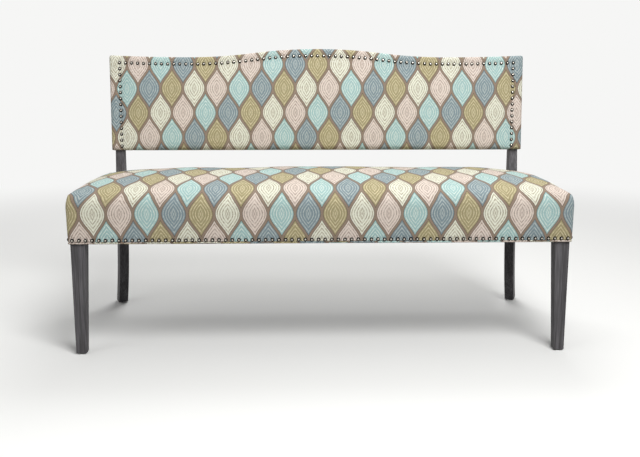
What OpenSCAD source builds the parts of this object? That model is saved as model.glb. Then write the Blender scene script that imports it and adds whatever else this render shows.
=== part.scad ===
// Upholstered banquette bench: a tight crowned seat on a hardwood frame, a low padded back with
// a camel-shaped top, square tapered front legs and swept rear legs. Millimetres, +Z up, front
// towards -Y, origin on the floor at the middle of the overall footprint.

/* [Seat] */
// Overall width of the seat over its cover
seat_w = 1462; // [1100:2:1800]
// Depth of the seat over its cover, front to back
seat_d = 560; // [500:5:620]
// Height of the seat's upper edge, where the crown starts
seat_edge_h = 472; // [460:1:490]
// Rise of the crown above that edge
seat_crown = 41; // [25:0.5:60]
// Further rise at the middle of the seat's length
seat_middle_rise = 5; // [0:0.5:8]
// Radius of the seat's upright corners in plan
seat_corner_r = 14; // [12:1:24]
// How far the nails draw the cover in at the seat's lower edge
seat_draw = 1; // [0.5:0.5:3]

/* [Seat frame] */
// Height of the rails' underside above the floor
rail_base_h = 338; // [320:1:345]
// Height of the seat rails
rail_h = 92; // [86:1:98]
// Thickness of the front and rear rails
rail_t = 25; // [20:1:30]
// Thickness of the side rails
side_rail_t = 28.5; // [22:0.5:30]
// Thickness of the cross rails
cross_rail_t = 22; // [18:1:30]
// Distance from the middle of the seat to each cross rail
cross_rail_x = 240; // [150:5:350]
// Length of a corner block's legs along the rails
block_leg = 55; // [35:1:80]
// Height of the corner blocks
block_h = 60; // [40:1:75]

/* [Legs] */
// Width of the front legs where they meet the rails
front_leg_top = 42; // [36:1:50]
// Width of the front legs at the floor
front_leg_foot = 29.5; // [22:0.5:36]
// Thickness of the rear legs
rear_leg_t = 31.5; // [26:0.5:34]
// Depth of the rear legs
rear_leg_d = 46; // [36:1:48]
// Angle by which the rear legs are turned outwards
rear_leg_turn = 22; // [10:1:25]
// Radius of the rear legs' backward sweep
rear_sweep_r = 765; // [700:5:1200]
// Height of the foot glides
glide_h = 4; // [3:0.5:8]
// Radius of the foot glides
glide_r = 9; // [6:0.5:12]
// Radius of a glide's pin
glide_pin_r = 1.5; // [1:0.25:2.5]
// Length of a glide's pin
glide_pin_l = 18; // [10:1:25]

/* [Back posts] */
// Width of the posts, seen from the front
post_w = 28; // [26:1:42]
// Depth of the posts beside the seat rails
post_seat_d = 54; // [50:1:60]
// Depth of the posts and of the back's rails
post_d = 32; // [24:1:38]
// Diameter of the bolts that hold the posts to the side rails
bolt_d = 8; // [6:1:10]

/* [Back] */
// Height of the back's lower edge above the floor
back_base_h = 557; // [545:1:600]
// Height of the back along its slope, at the dips of the top edge
back_h = 315; // [240:5:400]
// Angle of the back from upright
back_rake = 7.6; // [4:0.2:12]
// Rise of the middle of the top edge above its dips
hump_rise = 28; // [10:1:45]
// Distance from the middle of the top edge to each dip
hump_half = 440; // [300:10:500]
// Rise of the top edge's ends above its dips
end_rise = 6; // [0:1:15]
// How much further out the back's sides stand at the top edge than at the lower edge
back_flare = 5; // [0:0.5:8]
// Radius of the back's upper corners
back_corner_r = 8; // [7:0.5:12]
// Thickness of the padding in front of the posts, at its nailed border
border_t = 19; // [15:0.5:24]
// Fullness of the padding inside the nailed border
back_puff = 14; // [6:1:20]
// Distance from the border nails over which the padding swells
puff_run = 55; // [30:5:80]
// Height of the back's bottom rail
bottom_rail_h = 55; // [40:1:70]
// Height of the back's top rail at the dips
top_rail_h = 84; // [60:1:110]
// Width of the back's uprights
upright_w = 45; // [30:1:60]
// Distance from the middle of the back to each upright
upright_x = 230; // [120:5:320]

/* [Covers and padding] */
// Thickness of the woven cover
cover_t = 1.5; // [1:0.1:2]
// Thickness of the wadding over the seat rails
wadding_t = 7; // [5:0.5:9]
// Thickness of the cover and padding over the posts' sides, at the back's lower edge
back_side_t = 10; // [8:0.5:12]
// Thickness of the padding over the back's top rail
back_top_t = 6; // [4:0.5:10]
// Thickness of the webbing straps
webbing_t = 1.5; // [1:0.1:2]
// Width of the webbing straps
webbing_w = 60; // [40:1:70]
// Thickness of the hessian deck
deck_t = 1; // [0.8:0.1:1.5]
// Thickness of the dust cover under the seat
dust_t = 0.8; // [0.6:0.1:1.2]
// Thickness of the stiff card inside the outside back
liner_t = 2; // [1.5:0.1:3]
// Diameter of the welt along the seat's lower edge
welt_d = 6; // [5:0.5:7]

/* [Nails and dowels] */
// Diameter of the decorative nail heads
nail_d = 11; // [9:0.5:12]
// Height of the nail heads
nail_h = 3.2; // [2:0.2:4]
// Spacing of the nails on the seat
seat_nail_pitch = 19; // [14:0.5:30]
// Spacing of the nails on the back
back_nail_pitch = 20.3; // [15:0.1:30]
// Distance from the back's side edge to its nail row
nail_side_in = 36; // [30:1:44]
// Distance from the back's top edge to its nail row
nail_top_in = 25; // [22:1:32]
// Diameter of the dowels in the rail joints
dowel_d = 9.5; // [8:0.5:12]
// Length of the dowels
dowel_l = 48; // [36:2:54]

/* [Hidden] */
$fn = 48;

// Clearance round soft pieces and slots, clearance round pins, and overrun of cuts
soft_gap = 0.3;
pin_gap = 0.05;
over = 5;

// Seat outline: half sizes, and the frame inside its wadding and cover
half_w = seat_w / 2;
half_d = seat_d / 2;
frame_in = cover_t + wadding_t;
frame_x = half_w - frame_in;
frame_front = frame_in;
frame_back = seat_d - frame_in;
rail_top_h = rail_base_h + rail_h;

// Posts stand inside the side rails, flush with the rear rail's back
post_out = frame_x - side_rail_t;
post_in = post_out - post_w;
post_front = frame_back - post_seat_d;
post_bend_h = rail_base_h + rail_h / 2;
back_front_y = post_front + (back_base_h - post_bend_h) * tan(back_rake);

// Rear legs: the turned lower part hangs straight below the rails, then sweeps back
leg_lead = 2;
leg_in = 6;
straight_h = 6;
sweep_top = rail_base_h - straight_h;
foot_drop = sweep_top - glide_h;
foot_sweep = rear_sweep_r - sqrt(rear_sweep_r * rear_sweep_r - foot_drop * foot_drop);
leg_x = post_out - leg_in;
leg_y = post_front - leg_lead;
foot_back = leg_y + (foot_sweep + rear_leg_d) * cos(rear_leg_turn) + rear_leg_t * sin(rear_leg_turn);

// Everything is placed from the seat's front face, then moved so that the footprint, from the
// front nails' heads to the rear feet, is centred
nails_out = max(0, nail_h - seat_draw);
front_y = (nails_out - foot_back) / 2;

// Back panel outline, in its own sloping plane
panel_half = post_out + back_side_t;
function half_at(w) = panel_half + back_flare * w / back_h;
edge_t = 7;
lower_edge_t = 6;
border_roll = 12;
border_foot_roll = 11;
full_foot_roll = 32;
nail_r = nail_d / 2;
panel_rim = post_d + liner_t;

// Hump of the top edge: arcs of one radius curve out, then in; a flatter arc lifts each end
hump_r = (hump_half * hump_half / 4 + hump_rise * hump_rise / 4) / hump_rise;
end_run = panel_half - hump_half;
function sagitta(r, x) = r - sqrt(r * r - x * x);
function end_lift(x) = end_rise * pow((x - hump_half) / end_run, 2);
function crest(x) = let (a = abs(x))
    a < hump_half / 2 ? back_h + hump_rise - sagitta(hump_r, a)
    : a < hump_half ? back_h + sagitta(hump_r, hump_half - a)
    : back_h + end_lift(a);

// Points over a square corner are drawn onto an arc of the same reach
function on_arc(p) = p * max(p) / norm(p);
function corner_pt(p, a, b, r) = let (d = [abs(p.x) - a + r, abs(p.y) - b + r])
    min(d) > 0 ? let (q = on_arc(d)) [sign(p.x) * (a - r + q.x), sign(p.y) * (b - r + q.y)] : p;

// Crowned seat: closed loops climb its walls, and a grid closes the top
seat_count_x = 18;
seat_count_y = 10;
seat_rim_count = 2 * (seat_count_x + seat_count_y);
crown_end_power = 7;
crown_middle_run = 150;
crown_side_power = 2.5;
crown_side_ease = 0.73;
top_inset = 14;
least_corner_r = 5;
function shares(i, n) = sin(90 * (2 * i / n - 1));
function crown(x, y) = (seat_crown * (1 - pow(min(1, abs(x) / half_w), crown_end_power))
    + seat_middle_rise * exp(-pow(x / crown_middle_run, 2)))
    * pow(1 - pow(min(1, abs(y) / half_d), crown_side_power), crown_side_ease);
function rim_i(m) = m < seat_count_x ? m : m < seat_count_x + seat_count_y ? seat_count_x
    : m < 2 * seat_count_x + seat_count_y ? 2 * seat_count_x + seat_count_y - m : 0;
function rim_j(m) = m < seat_count_x ? 0 : m < seat_count_x + seat_count_y ? m - seat_count_x
    : m < 2 * seat_count_x + seat_count_y ? seat_count_y : seat_rim_count - m;
function round_in(inset) = max(least_corner_r, seat_corner_r - inset);
function seat_plan(i, j, inset, r) = corner_pt(
    [shares(i, seat_count_x) * (half_w - inset), shares(j, seat_count_y) * (half_d - inset)],
    half_w - inset, half_d - inset, r);
function seat_loop(z, inset, r) = [for (m = [0:seat_rim_count - 1])
    let (p = seat_plan(rim_i(m), rim_j(m), inset, r)) [p.x, p.y + half_d, z]];
function seat_top(t) = [for (i = [0:seat_count_x]) for (j = [0:seat_count_y])
    let (p = seat_plan(i, j, top_inset + t, least_corner_r))
    [p.x, p.y + half_d, seat_edge_h + crown(p.x, p.y) - t]];

// Wall stations of the seat: share of the wall height, and inset from the widest line
wall_h = seat_edge_h - rail_base_h;
drawn_h = nail_d;
top_turn = 5;
wall_stations = [[0, seat_draw], [drawn_h, seat_draw], [wall_h * 0.3, seat_draw / 4],
    [wall_h * 0.55, 0], [wall_h * 0.86, top_turn / 5], [wall_h * 0.96, top_turn]];
function seat_walls(t, from) = [for (s = wall_stations) if (s[0] >= from)
    seat_loop(rail_base_h + s[0], s[1] + t, round_in(s[1] + t))];

// Faces: quads between loops, from the last loop to the grid's rim, and of the grid itself
function split(q) = [[q[0], q[1], q[2]], [q[0], q[2], q[3]]];
function flat(lists) = [for (l = lists) for (e = l) e];
function loop_faces(n, m, at) = flat([for (k = [0:1:n - 2]) for (c = [0:m - 1])
    let (d = (c + 1) % m, a = at + k * m, b = a + m) split([a + c, b + c, b + d, a + d])]);
function grid_faces(nx, ny, at) = flat([for (i = [0:nx - 1]) for (j = [0:ny - 1])
    let (a = at + i * (ny + 1) + j, b = a + ny + 1) split([a, a + 1, b + 1, b])]);
function turned(faces) = [for (f = faces) [f[2], f[1], f[0]]];

// Flat cap of one loop: strips between its two long sides, and a fan at each end
function fan(tip, run) = [for (k = [0:len(run) - 2]) [tip, run[k], run[k + 1]]];
function cap_faces(nx, ny) = let (m = 2 * (nx + ny), far = 2 * nx + ny) concat(
    flat([for (i = [1:nx - 2]) split([i, i + 1, far - i - 1, far - i])]),
    fan(1, [for (k = [far - 1:m]) k % m]),
    fan(far - nx + 1, [for (k = [nx - 1:nx + ny]) k]));

// Back panel grid: steps in from the nailed edges, plain steps between
back_mid_count = 14;
back_row_count = 3;
function edge_step(k) = [0, border_roll * 0.3, border_roll, nail_side_in - nail_r,
    nail_side_in + nail_r, nail_side_in + nail_r + puff_run * 0.3,
    nail_side_in + nail_r + puff_run * 0.7, nail_side_in + nail_r + puff_run * 1.5][k];
function foot_step(k) = [0, border_foot_roll * 0.25, border_foot_roll,
    full_foot_roll * 0.6, full_foot_roll, full_foot_roll * 1.6][k];
edge_count = 7;
foot_count = 5;
back_count_x = 2 * edge_count + back_mid_count;
back_count_y = foot_count + back_row_count + edge_count;
back_rim_count = 2 * (back_count_x + back_count_y);
function panel_u(i) = i <= edge_count ? edge_step(i) - panel_half
    : i >= back_count_x - edge_count ? panel_half - edge_step(back_count_x - i)
    : (2 * (i - edge_count) / back_mid_count - 1) * (panel_half - edge_step(edge_count));
function panel_w(j, top) = j <= foot_count ? foot_step(j)
    : j >= back_count_y - edge_count ? top - edge_step(back_count_y - j)
    : foot_step(foot_count) + (j - foot_count) / back_row_count
        * (top - edge_step(edge_count) - foot_step(foot_count));
function panel_flat(i, j, t) =
    let (s = (panel_half - t) / panel_half, u = panel_u(i) * s,
        top = crest(u * half_at(back_h) / panel_half) - t, w = t + panel_w(j, top) * (top - t) / top,
        p = w > top / 2 ? corner_pt([u, w], panel_half - t, top, back_corner_r - t) : [u, w])
    [p.x * half_at(p.y) / panel_half, p.y];

// Thickness of the back's padding, from the distance to the nailed edges and to the lower edge
function edge_full(d) = d < border_roll
    ? edge_t + (border_t - edge_t) * sqrt(1 - pow(1 - max(0, d) / border_roll, 2))
    : d < nail_side_in + nail_r ? border_t
    : border_t + back_puff * (1 - exp(-(d - nail_side_in - nail_r) / puff_run));
function foot_roll(d) = border_foot_roll + (full_foot_roll - border_foot_roll)
    * min(1, max(0, (d - nail_side_in - nail_r) / puff_run));
function foot_full(w, r) = w < r ? sqrt(1 - pow(1 - max(0, w) / r, 2)) : 1;
function near_edge(u, w) = let (du = half_at(w) - abs(u), dw = crest(u) - w,
    c = [back_corner_r - du, back_corner_r - dw])
    min(c) > 0 ? back_corner_r - norm(c) : min(du, dw);
function pad_t(u, w) = let (d = near_edge(u, w))
    lower_edge_t + (edge_full(d) - lower_edge_t) * foot_full(w, foot_roll(d));
function back_rim_i(m) = m < back_count_x ? m : m < back_count_x + back_count_y ? back_count_x
    : m < 2 * back_count_x + back_count_y ? 2 * back_count_x + back_count_y - m : 0;
function back_rim_j(m) = m < back_count_x ? 0 : m < back_count_x + back_count_y ? m - back_count_x
    : m < 2 * back_count_x + back_count_y ? back_count_y : back_rim_count - m;
function back_loop(v, t) = [for (m = [0:back_rim_count - 1])
    let (p = panel_flat(back_rim_i(m), back_rim_j(m), t)) [p.x, v, p.y]];
function back_front(t) = [for (i = [0:back_count_x]) for (j = [0:back_count_y])
    let (p = panel_flat(i, j, t)) [p.x, t - pad_t(p.x, p.y), p.y]];

// Moves a piece from the seat's front face to the centred footprint
module placed() { translate([0, front_y, 0]) children(); }

// The sloping plane of the back, its origin at the posts' front face and the lower edge
module in_back() {
    placed() translate([0, back_front_y, back_base_h]) rotate([-back_rake, 0, 0]) children();
}

module both_sides() { for (s = [0, 1]) mirror([s, 0, 0]) children(); }

module on_left() { mirror([1, 0, 0]) children(); }

// Front leg: outer faces upright, the two inner faces tapered below the rails
module front_leg() {
    taper = front_leg_top - front_leg_foot;
    side = [[0, rail_top_h], [0, glide_h], [front_leg_foot, glide_h],
        [front_leg_foot + taper, rail_base_h], [front_leg_top, rail_top_h]];
    placed() difference() {
        intersection() {
            translate([frame_x, frame_front + front_leg_top, 0]) rotate([90, 0, 0])
                linear_extrude(front_leg_top) mirror([1, 0]) polygon(side);
            translate([frame_x - front_leg_top, frame_front, 0]) rotate([90, 0, 90])
                linear_extrude(front_leg_top) polygon(side);
        }
        front_glide_at() glide_hole();
        front_dowels(pin_gap);
    }
}

// Side view of the post: upright beside the rails, sloping above; grow widens it all round
module post_profile(grow, behind) {
    top = crest(post_out - post_w / 2) - back_top_t;
    slope = [sin(back_rake), cos(back_rake)];
    square_to = [cos(back_rake), -sin(back_rake)];
    foot = [back_front_y, back_base_h];
    polygon([[post_front - grow, rail_base_h], [post_front - grow, post_bend_h],
        foot - square_to * grow, foot + slope * top - square_to * grow,
        foot + slope * top + square_to * (post_d + grow + behind),
        foot + square_to * (post_d + grow + behind),
        [frame_back + grow + behind, rail_top_h], [frame_back + grow + behind, rail_base_h]]);
}

module post_blank(grow = 0, behind = 0) {
    translate([post_in - grow, 0, 0]) rotate([90, 0, 90])
        linear_extrude(post_w + 2 * grow) post_profile(grow, behind);
}

// Lower leg in its own turned plane: both edges are arcs of one radius below a straight part
module leg_profile(grow) {
    depth = rear_leg_d + 2 * grow;
    translate([-rear_leg_d - grow, sweep_top]) square([depth, straight_h]);
    intersection() {
        translate([-foot_sweep - rear_leg_d - grow, glide_h]) square([foot_sweep + depth, foot_drop]);
        translate([-rear_sweep_r, sweep_top]) difference() {
            circle(rear_sweep_r + grow);
            translate([-rear_leg_d, 0]) circle(rear_sweep_r - grow);
        }
    }
}

module leg_sweep(grow = 0) {
    translate([leg_x, leg_y, 0]) rotate([0, 0, -rear_leg_turn])
        translate([grow, 0, 0]) rotate([90, 0, -90])
        linear_extrude(rear_leg_t + 2 * grow) leg_profile(grow);
}

// Rear leg and back post in one piece, bored for its dowels, bolts and glide pin
module rear_leg() {
    difference() {
        union() {
            placed() post_blank();
            placed() leg_sweep();
        }
        placed() rear_glide_at() glide_hole();
        placed() post_bolt_holes();
        placed() rear_rail_dowels(pin_gap);
        back_rail_dowels(pin_gap);
    }
}

module front_glide_at() {
    translate([frame_x - front_leg_foot / 2, frame_front + front_leg_foot / 2, 0]) children();
}

module rear_glide_at() {
    translate([leg_x, leg_y, 0]) rotate([0, 0, -rear_leg_turn])
        translate([-rear_leg_t / 2, foot_sweep + rear_leg_d / 2, 0]) children();
}

// Foot glide: a flat-bottomed steel button with a rounded rim and a pin
module glide() {
    rim = glide_h / 2;
    rotate_extrude() union() {
        square([glide_r - rim, glide_h]);
        translate([0, rim]) square([glide_r, glide_h - rim]);
        translate([glide_r - rim, rim]) circle(rim);
    }
    translate([0, 0, glide_h]) cylinder(r = glide_pin_r, h = glide_pin_l);
}

module glide_hole() {
    translate([0, 0, glide_h - over]) cylinder(r = glide_pin_r + pin_gap, h = glide_pin_l + over + pin_gap);
}

// Dowels: pairs along the rails, staggered in height where two rails meet one leg
low_share = 0.28;
high_share = 0.72;
side_low_share = 0.12;
side_high_share = 0.88;

module dowel(grow) {
    translate([0, 0, -dowel_l / 2 - grow]) cylinder(d = dowel_d + 2 * grow, h = dowel_l + 2 * grow);
}

module front_dowels(grow) {
    for (s = [low_share, high_share])
        translate([frame_x - front_leg_top, frame_front + rail_t / 2, rail_base_h + rail_h * s])
        rotate([0, 90, 0]) dowel(grow);
    for (s = [side_low_share, side_high_share])
        translate([frame_x - side_rail_t / 2, frame_front + front_leg_top, rail_base_h + rail_h * s])
        rotate([90, 0, 0]) dowel(grow);
}

module rear_rail_dowels(grow) {
    for (s = [low_share, high_share])
        translate([post_in, frame_back - rail_t / 2, rail_base_h + rail_h * s])
        rotate([0, 90, 0]) dowel(grow);
}

top_rail_low = back_h - back_top_t - top_rail_h;

bottom_rail_low = back_top_t;
bottom_rail_top = bottom_rail_low + bottom_rail_h;

module back_rail_dowels(grow) {
    in_back() for (s = [low_share, high_share]) {
        translate([post_in, post_d / 2, bottom_rail_low + bottom_rail_h * s]) rotate([0, 90, 0]) dowel(grow);
        translate([post_in, post_d / 2, top_rail_low + top_rail_h * s]) rotate([0, 90, 0]) dowel(grow);
    }
}

module upright_dowels(grow) {
    in_back() for (z = [bottom_rail_top, top_rail_low])
        translate([upright_x, post_d / 2, z]) dowel(grow);
}

// Rails of the seat frame
module front_rail() {
    placed() difference() {
        translate([-frame_x + front_leg_top, frame_front, rail_base_h])
            cube([2 * (frame_x - front_leg_top), rail_t, rail_h]);
        both_sides() front_dowels(pin_gap);
        cross_screw_holes(pin_gap);
    }
}

module rear_rail() {
    placed() difference() {
        translate([-post_in, frame_back - rail_t, rail_base_h]) cube([2 * post_in, rail_t, rail_h]);
        both_sides() rear_rail_dowels(pin_gap);
        cross_screw_holes(pin_gap);
    }
}

module side_rail() {
    placed() difference() {
        translate([post_out, frame_front + front_leg_top, rail_base_h])
            cube([side_rail_t, frame_back - frame_front - front_leg_top, rail_h]);
        front_dowels(pin_gap);
        post_bolt_holes();
    }
}

// Cross rails, dished along the top to stay clear of the loaded webbing
cross_drop = 14;
cross_dish = 12;
cross_foot = 6;
inner_d = frame_back - frame_front - 2 * rail_t;

module cross_rails() {
    dish_r = (inner_d * inner_d / 4 + cross_dish * cross_dish) / (2 * cross_dish);
    placed() both_sides() difference() {
        translate([cross_rail_x - cross_rail_t / 2, frame_front + rail_t, rail_base_h + cross_foot])
            cube([cross_rail_t, inner_d, rail_h - cross_foot - cross_drop]);
        translate([cross_rail_x - cross_rail_t, half_d, rail_top_h - cross_drop + dish_r - cross_dish])
            rotate([0, 90, 0]) cylinder(r = dish_r, h = 2 * cross_rail_t, $fn = 180);
        cross_screw_holes(pin_gap);
    }
}

// Screws through the front and rear rails into the ends of the cross rails
screw_r = 2.5;
screw_head_r = 5;
screw_l = 60;

module screw(grow = 0) {
    cylinder(r = screw_r + grow, h = screw_l + grow);
    cylinder(r1 = screw_head_r + grow, r2 = screw_r + grow, h = screw_head_r - screw_r);
}

module cross_screw_holes(grow = 0) {
    both_sides() for (s = [low_share, high_share - low_share / 2]) {
        z = rail_base_h + cross_foot + (rail_h - cross_foot - cross_drop) * s;
        translate([cross_rail_x, frame_front - grow, z]) rotate([-90, 0, 0]) screw(grow);
        translate([cross_rail_x, frame_back + grow, z]) rotate([90, 0, 0]) screw(grow);
    }
}

// Corner blocks: front ones hug the legs, rear ones fill the corner of side rail and post
block_base_h = rail_base_h + (rail_h - block_h) / 2;

module corner_blocks() {
    leg_in_x = frame_x - front_leg_top;
    leg_back_y = frame_front + front_leg_top;
    placed() both_sides() translate([0, 0, block_base_h]) {
        linear_extrude(block_h) polygon([[leg_in_x - block_leg, frame_front + rail_t],
            [leg_in_x, frame_front + rail_t], [leg_in_x, leg_back_y], [post_out, leg_back_y],
            [post_out, leg_back_y + block_leg]]);
        linear_extrude(block_h) polygon([[post_out, post_front - block_leg],
            [post_out, post_front], [post_in, post_front], [post_in, post_front - rail_t / 2]]);
    }
}

// Carriage bolts through side rail and post, their heads sunk below the wadding
bolt_sink = 6;
bolt_head_d = 20;
bolt_edge = 15;
bolt_y = post_front + bolt_edge;
bolt_low_share = 0.25;
bolt_high_share = 0.68;
washer_t = 1.6;
nut_h = bolt_d * 0.8;
bolt_grip = side_rail_t + post_w - bolt_sink;

module bolt_places() {
    for (s = [bolt_low_share, bolt_high_share])
        translate([frame_x - bolt_sink, bolt_y, rail_base_h + rail_h * s]) rotate([0, -90, 0]) children();
}

module post_bolt_holes() {
    bolt_places() {
        translate([0, 0, -over]) cylinder(d = bolt_d + 2 * pin_gap, h = bolt_grip + 2 * over);
        translate([0, 0, -bolt_sink - over]) cylinder(d = bolt_head_d + 2 * soft_gap, h = bolt_sink + over);
    }
}

module bolt() {
    head_h = bolt_sink - 1.5 * pin_gap;
    head_r = bolt_head_d / 2;
    dome_r = (head_r * head_r + head_h * head_h) / (2 * head_h);
    mirror([0, 0, 1]) rotate_extrude() intersection() {
        translate([0, head_h - dome_r]) circle(dome_r);
        square([head_r, head_h]);
    }
    cylinder(d = bolt_d, h = bolt_grip + washer_t + nut_h + bolt_d / 4);
}

module nut_and_washer() {
    washer_r = bolt_d * 0.95;
    nut_r = bolt_d * 0.9;
    translate([0, 0, bolt_grip]) difference() {
        union() {
            cylinder(r = washer_r, h = washer_t);
            translate([0, 0, washer_t]) cylinder(r = nut_r, h = nut_h, $fn = 6);
        }
        translate([0, 0, -over]) cylinder(d = bolt_d + 2 * pin_gap, h = washer_t + nut_h + 2 * over);
    }
}

// Webbing, deck and dust cover
strap_end = 6;
long_straps = 3;
cross_straps = 9;

module post_slots(grow, behind) {
    placed() both_sides() post_blank(grow, behind);
}

module webbing_long() {
    placed() for (k = [1:long_straps])
        translate([-frame_x + strap_end, frame_front + (frame_back - frame_front) * k / (long_straps + 1)
            - webbing_w / 2, rail_top_h])
            cube([2 * (frame_x - strap_end), webbing_w, webbing_t]);
}

module webbing_cross() {
    reach = post_in - webbing_w;
    placed() for (k = [0:cross_straps - 1])
        translate([reach * (2 * k / (cross_straps - 1) - 1) - webbing_w / 2, frame_front + strap_end,
            rail_top_h + webbing_t])
            cube([webbing_w, frame_back - frame_front - 2 * strap_end, webbing_t]);
}

deck_h = rail_top_h + 2 * webbing_t;

module deck() {
    difference() {
        placed() translate([-frame_x + strap_end, frame_front + strap_end, deck_h])
            cube([2 * (frame_x - strap_end), frame_back - frame_front - 2 * strap_end, deck_t]);
        post_slots(soft_gap, seat_d);
    }
}

module dust_sheet() {
    leg_clear = 1;
    placed() difference() {
        translate([-frame_x + strap_end, frame_front + strap_end, rail_base_h - dust_t])
            cube([2 * (frame_x - strap_end), frame_back - frame_front - 2 * strap_end, dust_t]);
        both_sides() translate([frame_x - front_leg_top - leg_clear, 0, rail_base_h - over])
            cube([front_leg_top + over, frame_front + front_leg_top + leg_clear, 2 * over]);
        both_sides() leg_sweep(leg_clear);
    }
}

// Foam: flat on the deck, its top the cover's crown less the cover
module foam_seat() {
    t = cover_t + soft_gap;
    base = deck_h + deck_t - rail_base_h;
    foot_in = seat_draw / 2 + t;
    loops = concat([seat_loop(rail_base_h + base, foot_in, round_in(foot_in))], seat_walls(t, base));
    n = len(loops);
    pts = concat(flat(loops), seat_top(t));
    grid_at = n * seat_rim_count;
    faces = concat(loop_faces(n, seat_rim_count, 0), rim_faces(n, grid_at, seat_rim_count),
        grid_faces(seat_count_x, seat_count_y, grid_at), cap_faces(seat_count_x, seat_count_y));
    difference() {
        placed() polyhedron(pts, faces, convexity = 4);
        post_slots(soft_gap, seat_d);
    }
}

function grid_id(m, at) = at + rim_i(m) * (seat_count_y + 1) + rim_j(m);
function rim_faces(n, at, m_all) = flat([for (c = [0:m_all - 1])
    let (d = (c + 1) % m_all, a = (n - 1) * m_all)
    split([a + c, grid_id(c, at), grid_id(d, at), a + d])]);

// Wadding round the rails, between the frame and the cover
module wadding() {
    t = cover_t + soft_gap;
    low = [for (s = wall_stations) if (s[0] < rail_h)
        seat_loop(rail_base_h + s[0], s[1] + t, round_in(s[1] + t))];
    high = seat_loop(rail_top_h, seat_draw / 4 + t, round_in(seat_draw / 4 + t));
    inner = [seat_loop(rail_top_h, frame_in, 0), seat_loop(rail_base_h, frame_in, 0)];
    loops = concat(low, [high], inner, [low[0]]);
    n = len(loops) - 1;
    faces = [for (f = loop_faces(n + 1, seat_rim_count, 0)) [for (v = f) v % (n * seat_rim_count)]];
    difference() {
        placed() polyhedron(flat([for (k = [0:n - 1]) loops[k]]), faces, convexity = 6);
        post_slots(soft_gap, seat_d);
    }
}

// Seat cover: a shell with a crowned top, drawn in at the nails, slotted for the posts
module cover_seat() {
    outer = seat_walls(0, 0);
    inner = seat_walls(cover_t, 0);
    n = len(outer);
    half = n * seat_rim_count + (seat_count_x + 1) * (seat_count_y + 1);
    pts = concat(flat(outer), seat_top(0), flat(inner), seat_top(cover_t));
    skin = concat(loop_faces(n, seat_rim_count, 0), rim_faces(n, n * seat_rim_count, seat_rim_count),
        grid_faces(seat_count_x, seat_count_y, n * seat_rim_count));
    lining = [for (f = turned(skin)) f + [half, half, half]];
    rim = flat([for (c = [0:seat_rim_count - 1]) let (d = (c + 1) % seat_rim_count)
        split([c, d, half + d, half + c])]);
    difference() {
        placed() polyhedron(pts, concat(skin, lining, rim), convexity = 6);
        post_slots(soft_gap, seat_d);
    }
}

// Welt: a covered cord under the cover's lower edge, round all four sides
module welt() {
    r = welt_d / 2;
    inset = frame_in - soft_gap - r;
    bend = r + soft_gap;
    x = half_w - inset - bend;
    y = half_d - inset - bend;
    difference() {
        placed() translate([0, half_d, rail_base_h - r - soft_gap]) both_sides() {
            translate([x + bend, 0, 0]) rotate([90, 0, 0]) cylinder(r = r, h = 2 * y, center = true);
            for (s = [0, 1]) mirror([0, s, 0]) {
                translate([0, y + bend, 0]) rotate([0, 90, 0]) cylinder(r = r, h = x);
                translate([x, y, 0]) rotate_extrude(angle = 90) translate([bend, 0]) circle(r);
            }
        }
        placed() both_sides() leg_sweep(soft_gap);
    }
}

// Decorative nail: a domed head whose flat back lies on the cover; it faces +Z here
module nail() {
    dome_r = (nail_r * nail_r + nail_h * nail_h) / (2 * nail_h);
    rotate_extrude() intersection() {
        translate([0, nail_h - dome_r]) circle(dome_r);
        square([nail_r, nail_h]);
    }
}

nail_row_h = rail_base_h + nail_r;
row_end = 2.5;

module seat_front_row() {
    reach = half_w - seat_corner_r - row_end;
    n = round(2 * reach / seat_nail_pitch);
    placed() for (k = [0:n]) translate([reach * (2 * k / n - 1), seat_draw, nail_row_h])
        rotate([90, 0, 0]) nail();
}

module seat_side_row() {
    start = seat_corner_r + row_end;
    n = round((seat_d - 2 * start) / seat_nail_pitch);
    placed() for (k = [0:n])
        translate([half_w - seat_draw, start + (seat_d - 2 * start) * k / n, nail_row_h])
        rotate([0, 90, 0]) nail();
}

// Back rails between the posts; the top rail carries the hump
outline_count = 56;
function outline_top(half, inset, n) = [for (k = [n:-1:0])
    let (u = half * (2 * k / n - 1)) [u, crest(u) - inset]];

module top_rail() {
    difference() {
        in_back() translate([0, post_d, 0]) rotate([90, 0, 0]) linear_extrude(post_d)
            polygon(concat([[-post_in, top_rail_low], [post_in, top_rail_low]],
                outline_top(post_in, back_top_t, outline_count)));
        both_sides() back_rail_dowels(pin_gap);
        both_sides() upright_dowels(pin_gap);
    }
}

module bottom_rail() {
    difference() {
        in_back() translate([-post_in, 0, bottom_rail_low]) cube([2 * post_in, post_d, bottom_rail_h]);
        both_sides() back_rail_dowels(pin_gap);
        both_sides() upright_dowels(pin_gap);
    }
}

upright_t_share = 0.6;

module uprights() {
    both_sides() difference() {
        in_back()
            translate([upright_x - upright_w / 2, post_d * (1 - upright_t_share) / 2, bottom_rail_top])
            cube([upright_w, post_d * upright_t_share, top_rail_low - bottom_rail_top]);
        upright_dowels(pin_gap);
    }
}

back_straps = 8;

module webbing_back() {
    reach = post_in - webbing_w;
    low = bottom_rail_low + bottom_rail_h / 3;
    high = top_rail_low + top_rail_h / 2;
    in_back() for (k = [0:back_straps - 1])
        translate([reach * (2 * k / (back_straps - 1) - 1) - webbing_w / 2, -webbing_t, low])
            cube([webbing_w, webbing_t, high - low]);
}

function back_grid_id(m, at) = at + back_rim_i(m) * (back_count_y + 1) + back_rim_j(m);
function back_rim_faces(at) = flat([for (c = [0:back_rim_count - 1])
    let (d = (c + 1) % back_rim_count) split([c, back_grid_id(c, at), back_grid_id(d, at), d])]);

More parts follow.
